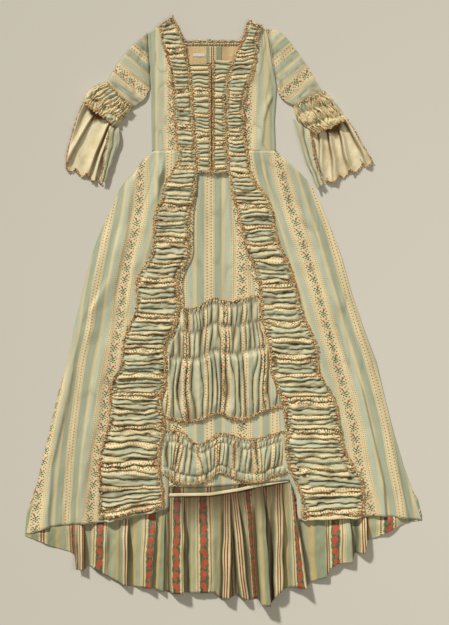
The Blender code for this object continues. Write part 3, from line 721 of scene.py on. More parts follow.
def bodiceShape(side):
    xs, us = bodice["stripes"][side]
    top = (-218.0, -150.0) if side == "left" else (126.0, 82.0)

    def shape(a, b):
        row = mix(40.0, gown["waist"] + 2.2, b)
        inner = (outerEdge(side, row) + innerEdge(side, row)) / 2
        outer = sideEdge(side, row)
        x = mix(inner, outer, a)
        crown = np.interp(mix(top[1], top[0], a), shoulder["x"], shoulder["drop"])
        drop = row + (crown - 40.0) * ease(1 - b * 5)
        x = mix(x, mix(top[1], top[0], a), ease(1 - b * 12))
        edge = np.abs(x - outer)
        high = mix(skirt["sideHigh"], layer["front"], ease(edge / 40.0))
        free = ease(edge / 12.0)
        high = high + free * foldsHigh(x, drop, bodice["folds"][side])
        slack = softNoise(x, drop, 15, 60, 8)
        thin = crease(slack, 0.1)
        high = high + free * (1.5 * slack - 0.8 * thin)
        # a drawn thread along the side seam
        high = high - 1.2 * crease(edge - 9.0, 2.2)
        # the waist edge is caught under the skirt
        high = np.maximum(high - 1.2 * ease((row - gown["waist"] + 1.6) / 1.6), skirt["least"])
        return x, drop, high, np.interp(x, xs, us), drop, free * 0.25 * thin

    return shape


def makeBodiceFronts():
    return layPair("silkBodiceFront", bodice, bodiceShape, [silk, wrongSide], "silk", "bodice_front_")


robing = {"columns": 30, "rows": 760, "fullness": 1.7, "pitchTop": 11.5, "pitchFoot": 17.0,
          "highTop": 9.5, "highFoot": 14.0, "lean": 0.40, "rowTop": 8.0, "rowFoot": 20.0}


def puckerPhase(drop, first, last, pitchTop, pitchFoot, seed):
    steps = np.linspace(first - 60, last + 60, 1600)
    pitch = mix(pitchTop, pitchFoot, ease((steps - first) / (last - first)))
    pitch = pitch * (1 + 0.34 * softNoise(steps, 0 * steps, 29, 50, seed))
    phase = np.concatenate([[0], np.cumsum(np.diff(steps) / ((pitch[1:] + pitch[:-1]) / 2))])
    return np.interp(drop, steps, phase)


def robingShape(side):
    edges = robingEdges[side]
    first, last = edges["drop"][0], edges["drop"][-1]
    seed = 11 if side == "left" else 31

    def shape(a, b):
        row = mix(first, last, b)
        inner, outer = innerEdge(side, row), outerEdge(side, row)
        wide = np.abs(outer - inner)
        down = ease((row - 300) / 900)
        edge = np.minimum(a, 1 - a) * wide
        ruffled = 2.2 * softNoise(row, 0 * row, 8, 9, seed + 3) * (1 - ease(edge / 16))
        x = mix(inner, outer, a) + ruffled
        drop = row + edges["topSlant"] * np.maximum(0, 1 - (row - first) / 60) * (a - 0.5)
        drop = drop + edges["footSlant"] * np.maximum(0, 1 - (last - row) / 90) * (a - 0.5)
        phase = puckerPhase(row, first, last, robing["pitchTop"], robing["pitchFoot"], seed)
        # puckers waver, run together and split across the band
        shift = 0.40 * softNoise(a * wide, row, 70, 30, seed + 1)
        shift = shift + 0.20 * softNoise(a * wide, row, 26, 12, seed + 9)
        shift = shift + 0.07 * softNoise(a * wide, row, 8, 7, seed + 2)
        main = puff(phase + shift, 0.48) * (0.74 + 0.46 * softNoise(a * wide, phase, 40, 0.9, seed + 4))
        main = main + 0.11 * softNoise(a * wide, row, 9, 4.5, seed + 14)
        # short second creases on top of the wider puckers
        waver = 0.22 * softNoise(a * wide, phase, 22, 0.8, seed + 10)
        second = crease((phase + 1.6 * shift + 0.5) % 1.0 - 0.5 + waver, 0.09)
        main = main - 0.42 * second * ease(1.6 * softNoise(a * wide, row, 24, 17, seed + 11) + 0.35)
        fine = puff(phase * 1.7 + 0.5 * softNoise(a * wide, row, 9, 12, seed + 5), 0.6)
        fine = fine * (0.62 + 0.5 * softNoise(a * wide, row, 9, 9, seed + 12))
        rowIn = mix(robing["rowTop"], robing["rowFoot"], down)
        rowIn = rowIn * (1 + 0.6 * softNoise(row, 0 * row, 30, 9, seed + 6))
        heart = ease((edge - rowIn + 3) / 9.0)
        high = mix(robing["highTop"], robing["highFoot"], down)
        blend = mix(fine * 0.7, main, heart)
        swell = blend * high * (1 - 0.32 * crease(edge - rowIn, 2.4)) * ease((edge - 1.5) / 6.0)
        swell = np.maximum(swell + 1.0 * softNoise(x, row, 5, 4, seed + 7) * ease(edge / 5.0), 0)
        shade = ease(1 - np.maximum(blend, 0) / 0.56) * ease((edge - 4) / 6.0)
        drop = drop + robing["lean"] * (swell - 3.5) * ease(edge / 6.0)
        u = robing["fullness"] * (row - first) + 26 * softNoise(row, 0 * row, 70, 9, seed + 8)
        u = u + (30 if side == "left" else 8) + 5 * softNoise(a * wide, row, 30, 20, seed + 13)
        return x, drop, layer["robing"] + swell, u, a * wide * 1.12, shade

    return shape


def makeRobings():
    return layPair("ruchedRobing", robing, robingShape, [ruchedSilk], "ruched_silk", "robing_")


compere = {"columns": 22, "rows": 260, "foot": 450.0, "pitch": 12.5, "high": 9.0, "fullness": 1.45,
           "left": {"top": 138.0, "under": -96.0, "centre": -33.0},
           "right": {"top": 126.0, "under": 26.0, "centre": -31.0}}


def compereShape(side):
    cut = compere[side]
    way = outward(side)
    seed = 51 if side == "left" else 71

    def shape(a, b):
        row = mix(cut["top"], compere["foot"], b)
        inner = innerEdge(side, row)
        visible = 0.2
        x = np.where(a < visible, mix(cut["under"], inner, a / visible),
                     mix(inner, cut["centre"], (a - visible) / (1 - visible)))
        x = np.where(way * (x - cut["under"]) > 0, cut["under"], x)
        edge = np.minimum(np.abs(x - inner), np.abs(x - cut["centre"]))
        shown = (a > visible)
        phase = puckerPhase(row, cut["top"], compere["foot"], compere["pitch"], compere["pitch"] * 1.1, seed)
        phase = phase + 0.4 * softNoise(x, row, 24, 22, seed + 1)
        main = puff(phase, 0.55) * (0.75 + 0.4 * softNoise(x, phase, 40, 1.0, seed + 2))
        fine = puff(phase * 2, 0.7) * 0.5
        heart = ease((edge - 5.0) / 7.0)
        swell = mix(fine, main, heart) * compere["high"] * ease(edge / 3.5) * shown
        shade = ease(1 - swell / (0.6 * compere["high"])) * ease((edge - 3) / 4) * shown
        drop = row + 0.35 * swell
        u = compere["fullness"] * (row - cut["top"]) + (70 if side == "left" else 20)
        return x, drop, layer["front"] + np.maximum(swell, 0), u, np.abs(x - cut["centre"]) * 1.1, shade

    return shape


def makeComperes():
    return layPair("ruchedCompere", compere, compereShape, [ruchedSilk], "ruched_silk", "compere_")


petticoat = {
    "columns": 80, "rows": 120, "hemRow": 1364.0, "flounceHead": 860.0,
    "folds": [{"line": [(-62, 440), (-70, 560), (-58, 700), (-44, 830)], "wide": (9, 14), "high": 3.0},
              {"line": [(12, 440), (18, 560), (30, 700), (24, 830)], "wide": (12, 8), "high": 2.6},
              {"line": [(-20, 600), (-4, 700), (8, 830)], "wide": (8, 12), "high": 1.8},
              {"line": [(44, 520), (66, 700), (76, 830)], "wide": (10, 8), "high": 2.2}]}


def petticoatSide(side, drop):
    row = np.maximum(drop, 470.0)
    return mix(innerEdge(side, row), outerEdge(side, row), 0.85)


def petticoatShape(high, hem, folds, lift, castShadow=0.0):
    def shape(a, b):
        row = mix(gown["petticoatWaist"], petticoat["hemRow"], b)
        x = mix(petticoatSide("left", row), petticoatSide("right", row), a)
        end = np.interp(x, hem["x"], hem["drop"])
        drop = row + (end - petticoat["hemRow"]) * ease((b - 0.8) / 0.2)
        free = ease((x + 150) / 60) * ease((190 - x) / 60)
        slack = softNoise(x, drop, 22, 160, 12)
        plain = ease((petticoat["flounceHead"] - drop) / 60)
        height = high + lift * free * (1.3 * foldsHigh(x, drop, folds) + 1.5 * slack * plain)
        thin = crease(slack, 0.09) * plain
        height = height - lift * free * 0.8 * thin
        # painted shade: an even shadow over the back, which lies under the front, and darker thin creases on
        # the front
        paintedShade = np.clip(castShadow + lift * 0.2 * thin, 0, 1)
        # the stripes lie a little wider apart than on the flat silk
        u = np.where(x < 7.5, (x + 40) * 0.97 + repeat / 2, (x - 55) * 0.97 + repeat)
        return x, drop, height, u, drop, paintedShade

    return shape


def makePetticoat():
    front = layCloth("petticoatFront", petticoat["columns"], petticoat["rows"],
                     petticoatShape(layer["petticoat"], petticoatHem, petticoat["folds"], 1.0),
                     [silk, wrongSide], "silk", ["petticoat_front"])
    # the back lies under the front and takes an even painted shadow
    back = layCloth("petticoatBack", 60, 60, petticoatShape(layer["petticoatBack"], underHem, [], 0.0, 0.6),
                    [wrongSide, silk], "silk_wrong_side", ["petticoat_back"])
    return front, back


upperFlounce = {
    "name": "upperFlounce", "columns": 224, "rows": 64, "fullness": 1.65, "middle": 5.0,
    "head": {"x": [-140, -70, -38, 22, 87, 130], "drop": [838, 840, 818, 824, 808, 806]},
    "foot": {"x": [-185, -90, -12, 40, 148, 180], "drop": [1160, 1176, 1152, 1170, 1136, 1134]},
    "gatherRows": [0.045, 0.215, 0.445], "high": [7.0, 13.0, 15.0, 18.0], "pitch": [10.5, 13.5, 14.5, 17.5],
    "spread": 3.0, "seed": 91, "shift": 0.0}
lowerFlounce = {
    "name": "lowerFlounce", "columns": 224, "rows": 44, "fullness": 1.7, "middle": 5.0,
    "head": {"x": [-190, -120, -73, -8, 67, 190], "drop": [1204, 1200, 1236, 1206, 1222, 1196]},
    "foot": {"x": [-190, -89, -3, 67, 200], "drop": [1322, 1356, 1321, 1348, 1318]},
    "gatherRows": [0.10, 0.24, 0.80], "high": [6.0, 8.0, 15.0, 9.0], "pitch": [10.0, 11.0, 14.0, 11.0],
    "spread": 13.0, "seed": 121, "shift": 40.0}


def flounceShape(flounce):
    seed = flounce["seed"]

    def shape(a, b):
        guess = mix(np.interp(0, flounce["head"]["x"], flounce["head"]["drop"]),
                    np.interp(0, flounce["foot"]["x"], flounce["foot"]["drop"]), b)
        left = innerEdge("left", guess) - 12
        right = innerEdge("right", guess) + 12
        x = mix(left, right, a)
        head = follow(flounce["head"], "drop", x, "x")
        foot = follow(flounce["foot"], "drop", x, "x")
        drop = mix(head, foot, b)
        rows = [0.0] + flounce["gatherRows"] + [1.0]
        swell = shade = 0.0
        for zone in range(4):
            low, top = rows[zone], rows[zone + 1]
            inside = ease((b - low) / 0.03 + 0.5) * ease((top - b) / 0.03 + 0.5)
            phase = x / flounce["pitch"][zone]
            phase = phase + 0.75 * softNoise(x, drop, 31, 120, seed + zone)
            phase = phase + 0.25 * softNoise(x, drop, 12, 60, seed + 7 + zone)
            tubes = puff(phase, 0.5) * (0.72 + 0.5 * softNoise(phase, drop, 1.0, 90, seed + 14 + zone))
            # tubes are fullest in the middle of each stretch between the drawn threads
            belly = np.clip(4 * (b - low) * (top - b) / (top - low) ** 2, 0, 1) ** 0.35
            if zone == 3:
                belly = np.clip((b - low) / 0.05, 0, 1) ** 0.5 * (1 - 0.55 * ease((b - 0.9) / 0.1))
            swell = swell + inside * tubes * belly * flounce["high"][zone]
            shade = shade + inside * ease(1 - tubes / 0.6)
        # pinched small gathers along the drawn threads
        pinched = puff(x / 5.6 + 0.4 * softNoise(x, drop, 13, 60, seed + 40), 0.6)
        for line in flounce["gatherRows"]:
            near = crease(b - line - 0.012 * softNoise(x, 0 * x, 24, 9, seed + 41), 0.020)
            swell = swell * (1 - 0.6 * near) + 2.6 * near * pinched
            shade = np.maximum(shade, near * (1.0 - 0.7 * pinched))
        edge = np.minimum(x - left, right - x)
        swell = swell * ease((edge - 9) / 14)
        swell = np.maximum(swell, 0) + 0.9 * softNoise(x, drop, 6, 9, seed + 30) * ease((edge - 9) / 14)
        u = (x - flounce["middle"]) * flounce["fullness"] + repeat + flounce["shift"]
        shade = shade * ease((edge - 14) / 10)
        spread = flounce["spread"] * np.sin(2 * np.pi * (x + 86) / 140) * b
        x = x + (0.30 * (swell - 3.0) + spread) * ease((edge - 12) / 20)
        return x, drop, layer["flounce"] + np.maximum(swell, 0), u, drop, shade

    return shape


def makeFlounces():
    return [layCloth(flounce["name"], flounce["columns"], flounce["rows"], flounceShape(flounce), [silk],
                     "ruched_silk", [node]) for flounce, node in ((upperFlounce, "upper_flounce"),
                                                                  (lowerFlounce, "lower_flounce"))]


train = {
    "columns": 480, "rows": 70, "coverRows": 26, "inset": 8.0,
    "covered": {"x": [-574, -530, -500, -450, -365, -300, -250, -172, -158, -38, 44, 109, 200, 206, 300, 410,
                      480, 577],
                "drop": [1492, 1480, 1468, 1460, 1454, 1446, 1436, 1410, 1376, 1374, 1362, 1348, 1334, 1440,
                         1446, 1436, 1436, 1446]},
    # the cloth's way across, tuck by tuck: x at the hem, x where it comes out, height, place in the stripes
    "tucks": [(-574, -574, 0, -330), (-520, -520, 5, -275), (-465, -465, 1, -225), (-437, -440, 2, -198),
              (-424, -428, 15, -170), (-420, -424, 9, -140), (-417, -420, 15, -105),
              (-402, -404, 20, -86), (-405, -407, 3, -64), (-386, -386, 2, -34), (-372, -368, 10, -14),
              (-340, -335, 13, 22), (-333, -332, 6, 32), (-310, -308, 6, 50), (-285, -284, 17, 86),
              (-276, -272, 17, 97), (-281, -276, 3, 112), (-257, -250, 3, 136), (-236, -228, 11, 160),
              (-207, -190, 19, 199), (-212, -190, 3, 215), (-192, -172, 6, 240), (-172, -165, 13, 262),
              (-177, -170, 2, 285), (-156, -158, 1, 335), (-147, -145, 16, 355), (-113, -112, 22, 398),
              (-118, -116, 2, 420), (-104, -100, 2, 480), (-90, -90, 9, 502), (-74, -75, 11, 533),
              (-33, -38, 13, 577), (-16, -15, 8, 602), (-6, 0, 4, 622), (0, 6, 19, 640),
              (20, 22, 24, 662), (16, 18, 3, 690), (34, 24, 2, 770), (46, 20, 8, 804), (54, 22, 20, 822),
              (74, 38, 22, 846), (70, 38, 4, 870), (84, 58, 2, 905), (97, 78, 3, 940), (106, 88, 14, 960),
              (113, 94, 29, 970), (139, 114, 31, 998), (133, 110, 4, 1030), (130, 124, 2, 1110),
              (143, 142, 4, 1165), (149, 150, 17, 1186), (174, 172, 20, 1218), (170, 170, 5, 1228),
              (190, 184, 7, 1246), (206, 190, 16, 1272), (243, 212, 26, 1318), (239, 212, 3, 1334),
              (254, 240, 3, 1342), (276, 272, 10, 1358), (301, 298, 12, 1380), (297, 296, 3, 1400),
              (303, 302, 7, 1452), (311, 310, 12, 1463), (345, 345, 13, 1500), (375, 366, 17, 1530),
              (372, 364, 3, 1540), (386, 380, 3, 1550), (398, 398, 16, 1562), (417, 414, 22, 1584),
              (416, 414, 3, 1600), (440, 440, 2, 1630), (480, 478, 7, 1665), (520, 520, 1, 1705),
              (577, 577, 0, 1765)]}


def trainShape(a, b):
    tucks = np.array(train["tucks"], float)
    way = np.concatenate([[0], np.cumsum(np.hypot(np.diff(tucks[:, 0]), np.diff(tucks[:, 2])))])
    table = {"way": way, "hemX": tucks[:, 0], "topX": tucks[:, 1], "high": tucks[:, 2], "u": tucks[:, 3]}
    t = a * way[-1]
    hemX, topX, u = [mix(follow(table, name, t, "way"), np.interp(t, way, table[name]), 0.35)
                     for name in ("hemX", "topX", "u")]
    profile = np.maximum(mix(follow(table, "high", t, "way"), np.interp(t, way, table["high"]), 0.35), 0)
    # hollows beside tall folds get painted shade
    fine = np.linspace(0, way[-1], 2400)
    fineHigh = np.interp(fine, way, table["high"])
    tallest = np.array([fineHigh[max(0, k - 26):k + 27].max() for k in range(len(fine))])
    hollow = np.interp(t, fine, ease((tallest - fineHigh - 4) / 12))
    cover = train["coverRows"] / train["rows"]
    start = np.interp(topX, train["covered"]["x"], train["covered"]["drop"])
    end = np.interp(hemX, trainHem["x"], trainHem["drop"])
    down = np.clip((b - cover) / (1 - cover), 0, 1)
    hidden = np.clip(b / cover, 0, 1)
    above = mix(112.0, start, hidden)
    part = (topX + 574.0) / 1151.0
    inset = train["inset"] * (1 - ease((above - 1330) / 90))
    upX = mix(sideEdge("left", above) + inset, sideEdge("right", above) - inset, part)
    upX = mix(mix(-200.0, 118.0, part), upX, ease(hidden * 8))
    drop = np.where(b < cover, above, mix(start, end, down))
    x = np.where(b < cover, mix(upX, topX, ease(hidden * 14 - 13)), mix(topX, hemX, down ** 0.85))
    rise = np.where(b < cover, 0.0, 0.05 + 0.95 * ease(down * 1.9))
    wander = 1.0 + 0.22 * softNoise(hemX, drop, 40, 80, 141)
    crumple = 2.2 * softNoise(t, drop, 17, 46, 142) + 1.3 * softNoise(t, drop, 8, 18, 143)
    calm = ease((574 - np.abs(hemX)) / 40) * ease(down * 3)
    high = np.maximum(1.18 * profile * rise * wander + crumple * calm, 0)
    x = x + calm * (2.2 * softNoise(t, drop, 30, 60, 144))
    # it steps up over the box pleats
    step = 1.5 * ease((0.75 - np.abs(part * 2 - 1)) / 0.15) * (1 - ease((drop - 1240) / 55))
    # flat under the fronts, with no fullness
    u = np.where(b < cover, mix(upX, u, ease(hidden * 3 - 2)), u)
    # painted shadow on the part just under the petticoat hem, darkest there
    castShadow = 0.95 * (1 - ease(down * 2.0)) * ease((190 - np.abs(topX - 20)) / 50) * (b > cover)
    return x, drop, layer["back"] + step + high, u, drop, np.maximum(hollow * ease(down * 4), castShadow)


def makeBack():
    return layCloth("backAndTrain", train["columns"], train["rows"], trainShape, [wrongSide, silk],
                    "silk_wrong_side", ["back_and_train"])


# ends of each section across an arm piece: outer x and drop, inner x and drop
armSections = {
    "sleeve": {
        "left": [(-220, 46, -211, 206), (-262, 84, -226, 238), (-305, 138, -250, 256),
                 (-340, 201, -277, 271), (-360, 222, -293, 290)],
        "right": [(129, 36, 158, 214), (168, 46, 166, 232), (208, 92, 182, 246), (245, 143, 198, 254),
                  (294, 229, 212, 262), (318, 262, 230, 290)]},
    "cuff": {
        "left": [(-338, 190, -264, 268), (-372, 202, -280, 289), (-398, 226, -294, 305),
                 (-404, 252, -314, 318)],
        "right": [(297, 217, 203, 260), (325, 248, 213, 296), (346, 276, 234, 322), (362, 302, 262, 342)]},
    "ruffle": {
        "left": [(-392, 232, -306, 300), (-416, 276, -318, 326), (-436, 336, -332, 384),
                 (-450, 392, -344, 440), (-456, 438, -352, 480)],
        "right": [(352, 286, 248, 318), (376, 322, 262, 352), (398, 362, 272, 400), (420, 396, 282, 446),
                  (434, 420, 298, 484)]},
    "turned": {
        "left": [(-329, 318, -301, 322), (-340, 384, -300, 370), (-349, 440, -322, 424),
                 (-350, 478, -339, 480)],
        "right": [(254, 330, 206, 296), (266, 402, 224, 366), (276, 448, 244, 430), (292, 486, 274, 501)]}}
sleeveStripes = {"left": {"x": -262.0, "drop": 190.0, "axis": (-0.637, 0.771), "scale": 1.16},
                 "right": {"x": 215.0, "drop": 190.0, "axis": (0.66, 0.751), "scale": 1.065}}


def sectionAt(kind, side, down, across):
    rows = np.array(armSections[kind][side], float)
    table = {"step": list(np.linspace(0, 1, len(rows)))}
    for spot, label in enumerate(("outerX", "outerDrop", "innerX", "innerDrop")):
        table[label] = list(rows[:, spot])
    ends = [follow(table, label, down, "step") for label in ("outerX", "outerDrop", "innerX", "innerDrop")]
    return mix(ends[0], ends[2], across), mix(ends[1], ends[3], across)


def armStripe(side, x, drop):
    cut = sleeveStripes[side]
    along = (x - cut["x"]) * cut["axis"][0] + (drop - cut["drop"]) * cut["axis"][1]
    across = -(x - cut["x"]) * cut["axis"][1] + (drop - cut["drop"]) * cut["axis"][0]
    return along * cut["scale"], across


sleeve = {"columns": 72, "rows": 70, "middle": 5.6, "half": 4.8}


def sleeveShape(side):
    seed = 151 if side == "left" else 161

    def shape(a, b):
        angle = 2 * np.pi * a
        across = 0.5 - 0.5 * np.cos(angle)
        x, drop = sectionAt("sleeve", side, b, across)
        rise = np.sign(np.sin(angle)) * np.abs(np.sin(angle)) ** 0.55
        u, v = armStripe(side, x, drop)
        top = np.clip(rise, 0, 1)
        # soft creases run round the arm, deepest by the armhole and the elbow
        rumple = softNoise(u, v, 22, 70, seed)
        fine = softNoise(u, v + u * 0.6, 10, 45, seed + 1)
        wrinkles = 4.4 * rumple + 2.6 * fine
        ends = 0.35 + 0.9 * ease((b - 0.6) / 0.4) + 0.6 * ease(1 - b * 5)
        body = ease(b * 5)
        half = mix(2.0, sleeve["half"], body)
        high = mix(3.0, sleeve["middle"], body) + half * rise + top * wrinkles * ends
        high = high - top * 1.2 * crease(b * 180, 6.0)
        innerV = armStripe(side, *sectionAt("sleeve", side, b, 1.0))[1]
        thin = crease(rumple, 0.1) + 0.6 * crease(fine, 0.12)
        high = high - top * 1.4 * thin
        shade = np.clip(0.12 * ease(-1.8 * rumple) + 0.40 * thin + 0.45 * ease(1 - b * 14), 0, 1)
        return x, drop, np.maximum(high, 0.9), u, np.where(angle > np.pi, 2 * innerV - v, v), shade

    return shape


def closeTube(cloth):
    only(cloth)
    bpy.ops.object.mode_set(mode="EDIT")
    bpy.ops.mesh.select_all(action="SELECT")
    bpy.ops.mesh.remove_doubles(threshold=0.00002)
    bpy.ops.mesh.normals_make_consistent(inside=False)
    bpy.ops.object.mode_set(mode="OBJECT")


def makeSleeves():
    return layPair("silkSleeve", sleeve, sleeveShape, [silk, linen], "silk", "sleeve_", tube=True)


cuff = {"columns": 110, "rows": 44, "high": 12.5, "puckers": 8.5}


def cuffShape(side):
    seed = 171 if side == "left" else 181

    def shape(a, b):
        x, drop = sectionAt("cuff", side, b, a)
        long = 105.0
        across = a * long
        down = b * 48.0
        edge = np.minimum(across, long - across)
        rowsDown = np.abs(np.sin(np.pi * (b * 2.6 + 0.25 + 0.25 * softNoise(across, down, 22, 30, seed))))
        tubes = puff(across / 9.0 + 0.8 * softNoise(across, down, 14, 10, seed + 1), 0.8)
        swell = cuff["puckers"] * (0.35 + 0.65 * rowsDown) * (0.45 + 0.75 * tubes)
        swell = swell + 1.8 * softNoise(across, down, 5, 5, seed + 2)
        arch = mix(1.2, cuff["high"], ease(edge / 9.0))
        frill = 4.0 * softNoise(across, 0 * down, 7, 9, seed + 3)
        x = x + frill * (b > 0.9) * 0.6
        rough = 2.5 * np.abs(softNoise(across, 0 * down, 7, 9, seed + 4))
        drop = drop + frill * ease((b - 0.85) / 0.15) - rough * ease((0.15 - b) / 0.15)
        u = 24 * softNoise(across, down, 40, 60, seed + 5) + (b - 0.5) * 66
        shade = ease(1 - swell / 5.2) * ease(edge / 8.0)
        return x, drop, arch + np.maximum(swell, 0) * ease(edge / 6.0), u, across * 2.6, shade

    return shape


def makeCuffs():
    return layPair("ruchedCuff", cuff, cuffShape, [ruchedSilk], "ruched_silk", "cuff_")


ruffle = {"columns": 110, "rows": 50, "base": 2.6, "scallops": {"left": 3.3, "right": 4.0}, "scallop": 19.0,
          "curl": 15.0, "wide": 150.0, "long": 190.0,
          # where each fold starts by the cuff and ends at the hem, as parts of the width, and its height
          "folds": {"left": [(0.50, -0.04, 10), (0.88, 0.62, 14), (0.98, 0.82, 12)],
                    "right": [(0.08, 0.10, 9), (0.30, 0.48, 14), (0.52, 0.80, 14), (0.78, 1.02, 10)]}}


def ruffleShape(side):
    seed = 191 if side == "left" else 201

    def shape(a, b):
        x, drop = sectionAt("ruffle", side, b, a)
        waves = a * ruffle["scallops"][side] + 0.1 + 0.12 * softNoise(a * 4, b, 1, 3, seed)
        scallop = np.abs(np.sin(np.pi * waves)) ** 0.6
        drop = drop + (ruffle["scallop"] * (scallop - 0.55)) * ease((b - 0.6) / 0.4)
        # long folds spread from the cuff, steep on the side towards the body
        high = shade = 0.0
        for start, end, tall in ruffle["folds"][side]:
            away = a - mix(start, end, b) - 0.03 * softNoise(b * 3, 0 * b + start * 9, 1, 1, seed + 5)
            reach = np.where(away < 0, 0.075, 0.020) * (0.75 + 0.5 * b)
            ridge = np.exp(-(away / reach) ** 2)
            strength = tall * (0.45 + 0.75 * ease(b * 1.6)) * (1 - 0.45 * ease((b - 0.7) / 0.3))
            high = high + ridge * strength
            shade = shade + np.exp(-((away - 0.035) / 0.024) ** 2) * (1.1 - 0.75 * b) * tall / 11.0
        # the outer edge curls up towards the elbow
        curl = ruffle["curl"] * ease((0.15 - a) / 0.15) * (1 - 0.8 * b)
        # inside the bell by the cuff the cloth dips into shade
        mouth = 0.34 - 0.5 * np.abs(a - 0.45)
        dip = ease((mouth - b) / 0.10) * ease((a - 0.12) / 0.12) * ease((0.95 - a) / 0.15)
        high = high * (1 - dip * 0.8) + curl + 1.6 * softNoise(x, drop, 26, 40, seed + 2)
        high = high + 0.7 * softNoise(x, drop, 10, 18, seed + 3)
        ends = ease(np.minimum(a, 1 - a) / 0.05 + 0.25)
        curled = 0.5 * ease((0.2 - a) / 0.1) * ease((a - 0.06) / 0.06) * (1 - b)
        shade = np.clip(shade + dip + curled, 0, 1)
        u, v = a * ruffle["wide"], b * ruffle["long"]
        return x, drop, np.maximum(ruffle["base"] + high * ends, 1.6), u, v, shade

    return shape


def makeRuffles():
    return layPair("sleeveRuffle", ruffle, ruffleShape, [linen, silk], "linen", "sleeve_ruffle_")


turned = {"columns": 30, "rows": 60, "base": 8.0, "high": 9.0}


def turnedShape(side):
    seed = 211 if side == "left" else 221

    def shape(a, b):
        x, drop = sectionAt("turned", side, b, a)
        roll = puff(a * 1.6 + 0.2 + 0.15 * softNoise(b * 5, a, 1, 1, seed), 0.9)
        high = turned["base"] + turned["high"] * roll * (0.6 + 0.4 * b) * ease(b * 6 + 0.3)
        high = high + 1.2 * softNoise(x, drop, 9, 26, seed + 1)
        x = x + 2.5 * softNoise(b * 9, a, 1, 2, seed + 2)
        start = 36.0 if side == "left" else 20.0
        return x, drop, high, start + a * 46.0, b * 168.0, ease(1 - roll / 0.5) * 0.8

    return shape


def makeTurned():
    return layPair("ruffleFront", turned, turnedShape, [silk, linen], "silk", "ruffle_front_")


neck = {"lining": (-111, 52, 83, 205), "strip": (-48, -4, 86, 136), "tape": (-87, -52, 107, 116),
        "trimming": (-113, 54, 70, 81)}


def flatShape(corners, high, wave, startU, seed, stretch=1.0):
    left, right, top, foot = corners

    def shape(a, b):
        x, drop = mix(left, right, a), mix(top, foot, b)
        height = high + wave * softNoise(x, drop, 16, 22, seed)
        return x, drop, height, startU + stretch * (x - left), drop

    return shape


def liningShape(a, b):
    x, drop, height, u, v = flatShape(neck["lining"], layer["lining"], 0.25, 0.0, 231)(a, b)
    # rows of stitching hold the lining to its padding
    lengthwise = crease((x - neck["lining"][0]) % 17.0 - 8.5, 1.1)
    crosswise = crease(drop % 24.0 - 12.0, 1.1) * (x > -4)
    stitched = np.maximum(lengthwise, crosswise)
    return x, drop, height - 0.5 * stitched, u, v


def trimmingShape(a, b):
    left, right, top, foot = neck["trimming"]
    x, drop = mix(left, right, a), mix(top, foot, b)
    ruched = puff(x / 8.5 + 0.4 * softNoise(x, drop, 15, 9, 236), 0.8) * 3.2
    ruched = ruched * (1 - 0.6 * crease(drop - 76, 1.6))
    drop = drop + 2.2 * softNoise(x, 0 * drop, 9, 9, 237) * (1 - b)
    return x, drop, layer["lining"] + 1.2 + ruched, 38 + b * 13, x * 1.45


def makeNeck():
    lining = layCloth("neckLining", 70, 40, liningShape, [neckLinen], "linen", ["back_lining"])
    stripShape = flatShape(neck["strip"], layer["strip"], 0.15, 68.0, 232, 1.35)
    strip = layCloth("liningStrip", 24, 16, stripShape, [wrongSide], "silk_wrong_side", ["lining_strip"],
                     thick=0.5)
    tape = layCloth("neckTape", 24, 8, flatShape(neck["tape"], layer["strip"], 0.15, 0.0, 233), [tapeCloth],
                    "tape", ["neck_tape"], thick=0.5)
    trimming = layCloth("neckTrimming", 160, 14, trimmingShape, [ruchedSilk], "braid", ["neck_trimming"])
    return lining, strip, tape, trimming


pleat = {"columns": 12, "rows": 40, "top": 76.0, "foot": 1200.0,
         "parts": {"left": (0.25, 0.47), "right": (0.53, 0.75)}}


def pleatShape(side):
    def shape(a, b):
        drop = mix(pleat["top"], pleat["foot"], b)
        part = mix(*pleat["parts"][side], a)
        x = mix(sideEdge("left", drop), sideEdge("right", drop), part)
        return x, drop, layer["pleat"] + 0 * drop, x, drop

    return shape


def makeBoxPleats():
    # they show the same silk on both faces, and only from beneath
    return layPair("boxPleat", pleat, pleatShape, [silk], "silk", "box_pleat_", thick=0.7)


def tapeShape(a, b):
    x = mix(-158.0, 190.0, a)
    hem = np.interp(x, underHem["x"], underHem["drop"])
    front = np.interp(x, petticoatHem["x"], petticoatHem["drop"])
    drop = np.maximum(mix(hem - 9.0, hem, b), front + 2 + b * 2)
    return x, drop, layer["petticoatBack"] + 1.1 + 0.25 * softNoise(x, drop, 14, 30, 241), b * 9.0, x


def makeHemTape():
    return layCloth("petticoatHemTape", 120, 4, tapeShape, [linen], "tape", ["petticoat_hem_tape"], thick=0.6)


braid = {"cordStep": 2.6, "sides": 5, "step": 4.8, "tuft": 2.2, "spread": 2.3, "core": 1.3,
         "floss": [(dye(222, 182, 116), 0.42), (dye(198, 152, 86), 0.24), (dye(132, 94, 52), 0.10),
                   (dye(206, 110, 60), 0.07), (dye(88, 108, 90), 0.05), (dye(230, 212, 168), 0.12)]}


def tuftPattern():
    # one burr of cut floss: alternate points drawn out
    bpy.ops.object.select_all(action="DESELECT")
    bpy.ops.mesh.primitive_ico_sphere_add(subdivisions=1, radius=1.0)
    burr = bpy.context.active_object
    points = np.array([v.co[:] for v in burr.data.vertices])
    faces = np.array([f.vertices[:] for f in burr.data.polygons])
    points = points * np.where(np.arange(len(points)) % 2, 1.45, 0.72)[:, None]
    bpy.data.objects.remove(burr)
    return points, faces


tuftPoints, tuftFaces = tuftPattern()


def evenSteps(line, step):
    line = np.asarray(line, float)
    run = np.concatenate([[0], np.cumsum(np.linalg.norm(np.diff(line, axis=0), axis=1))])
    count = max(2, int(run[-1] / step))
    at = np.linspace(0, run[-1], count + 1)
    return np.stack([np.interp(at, run, line[:, k]) for k in range(3)], 1)


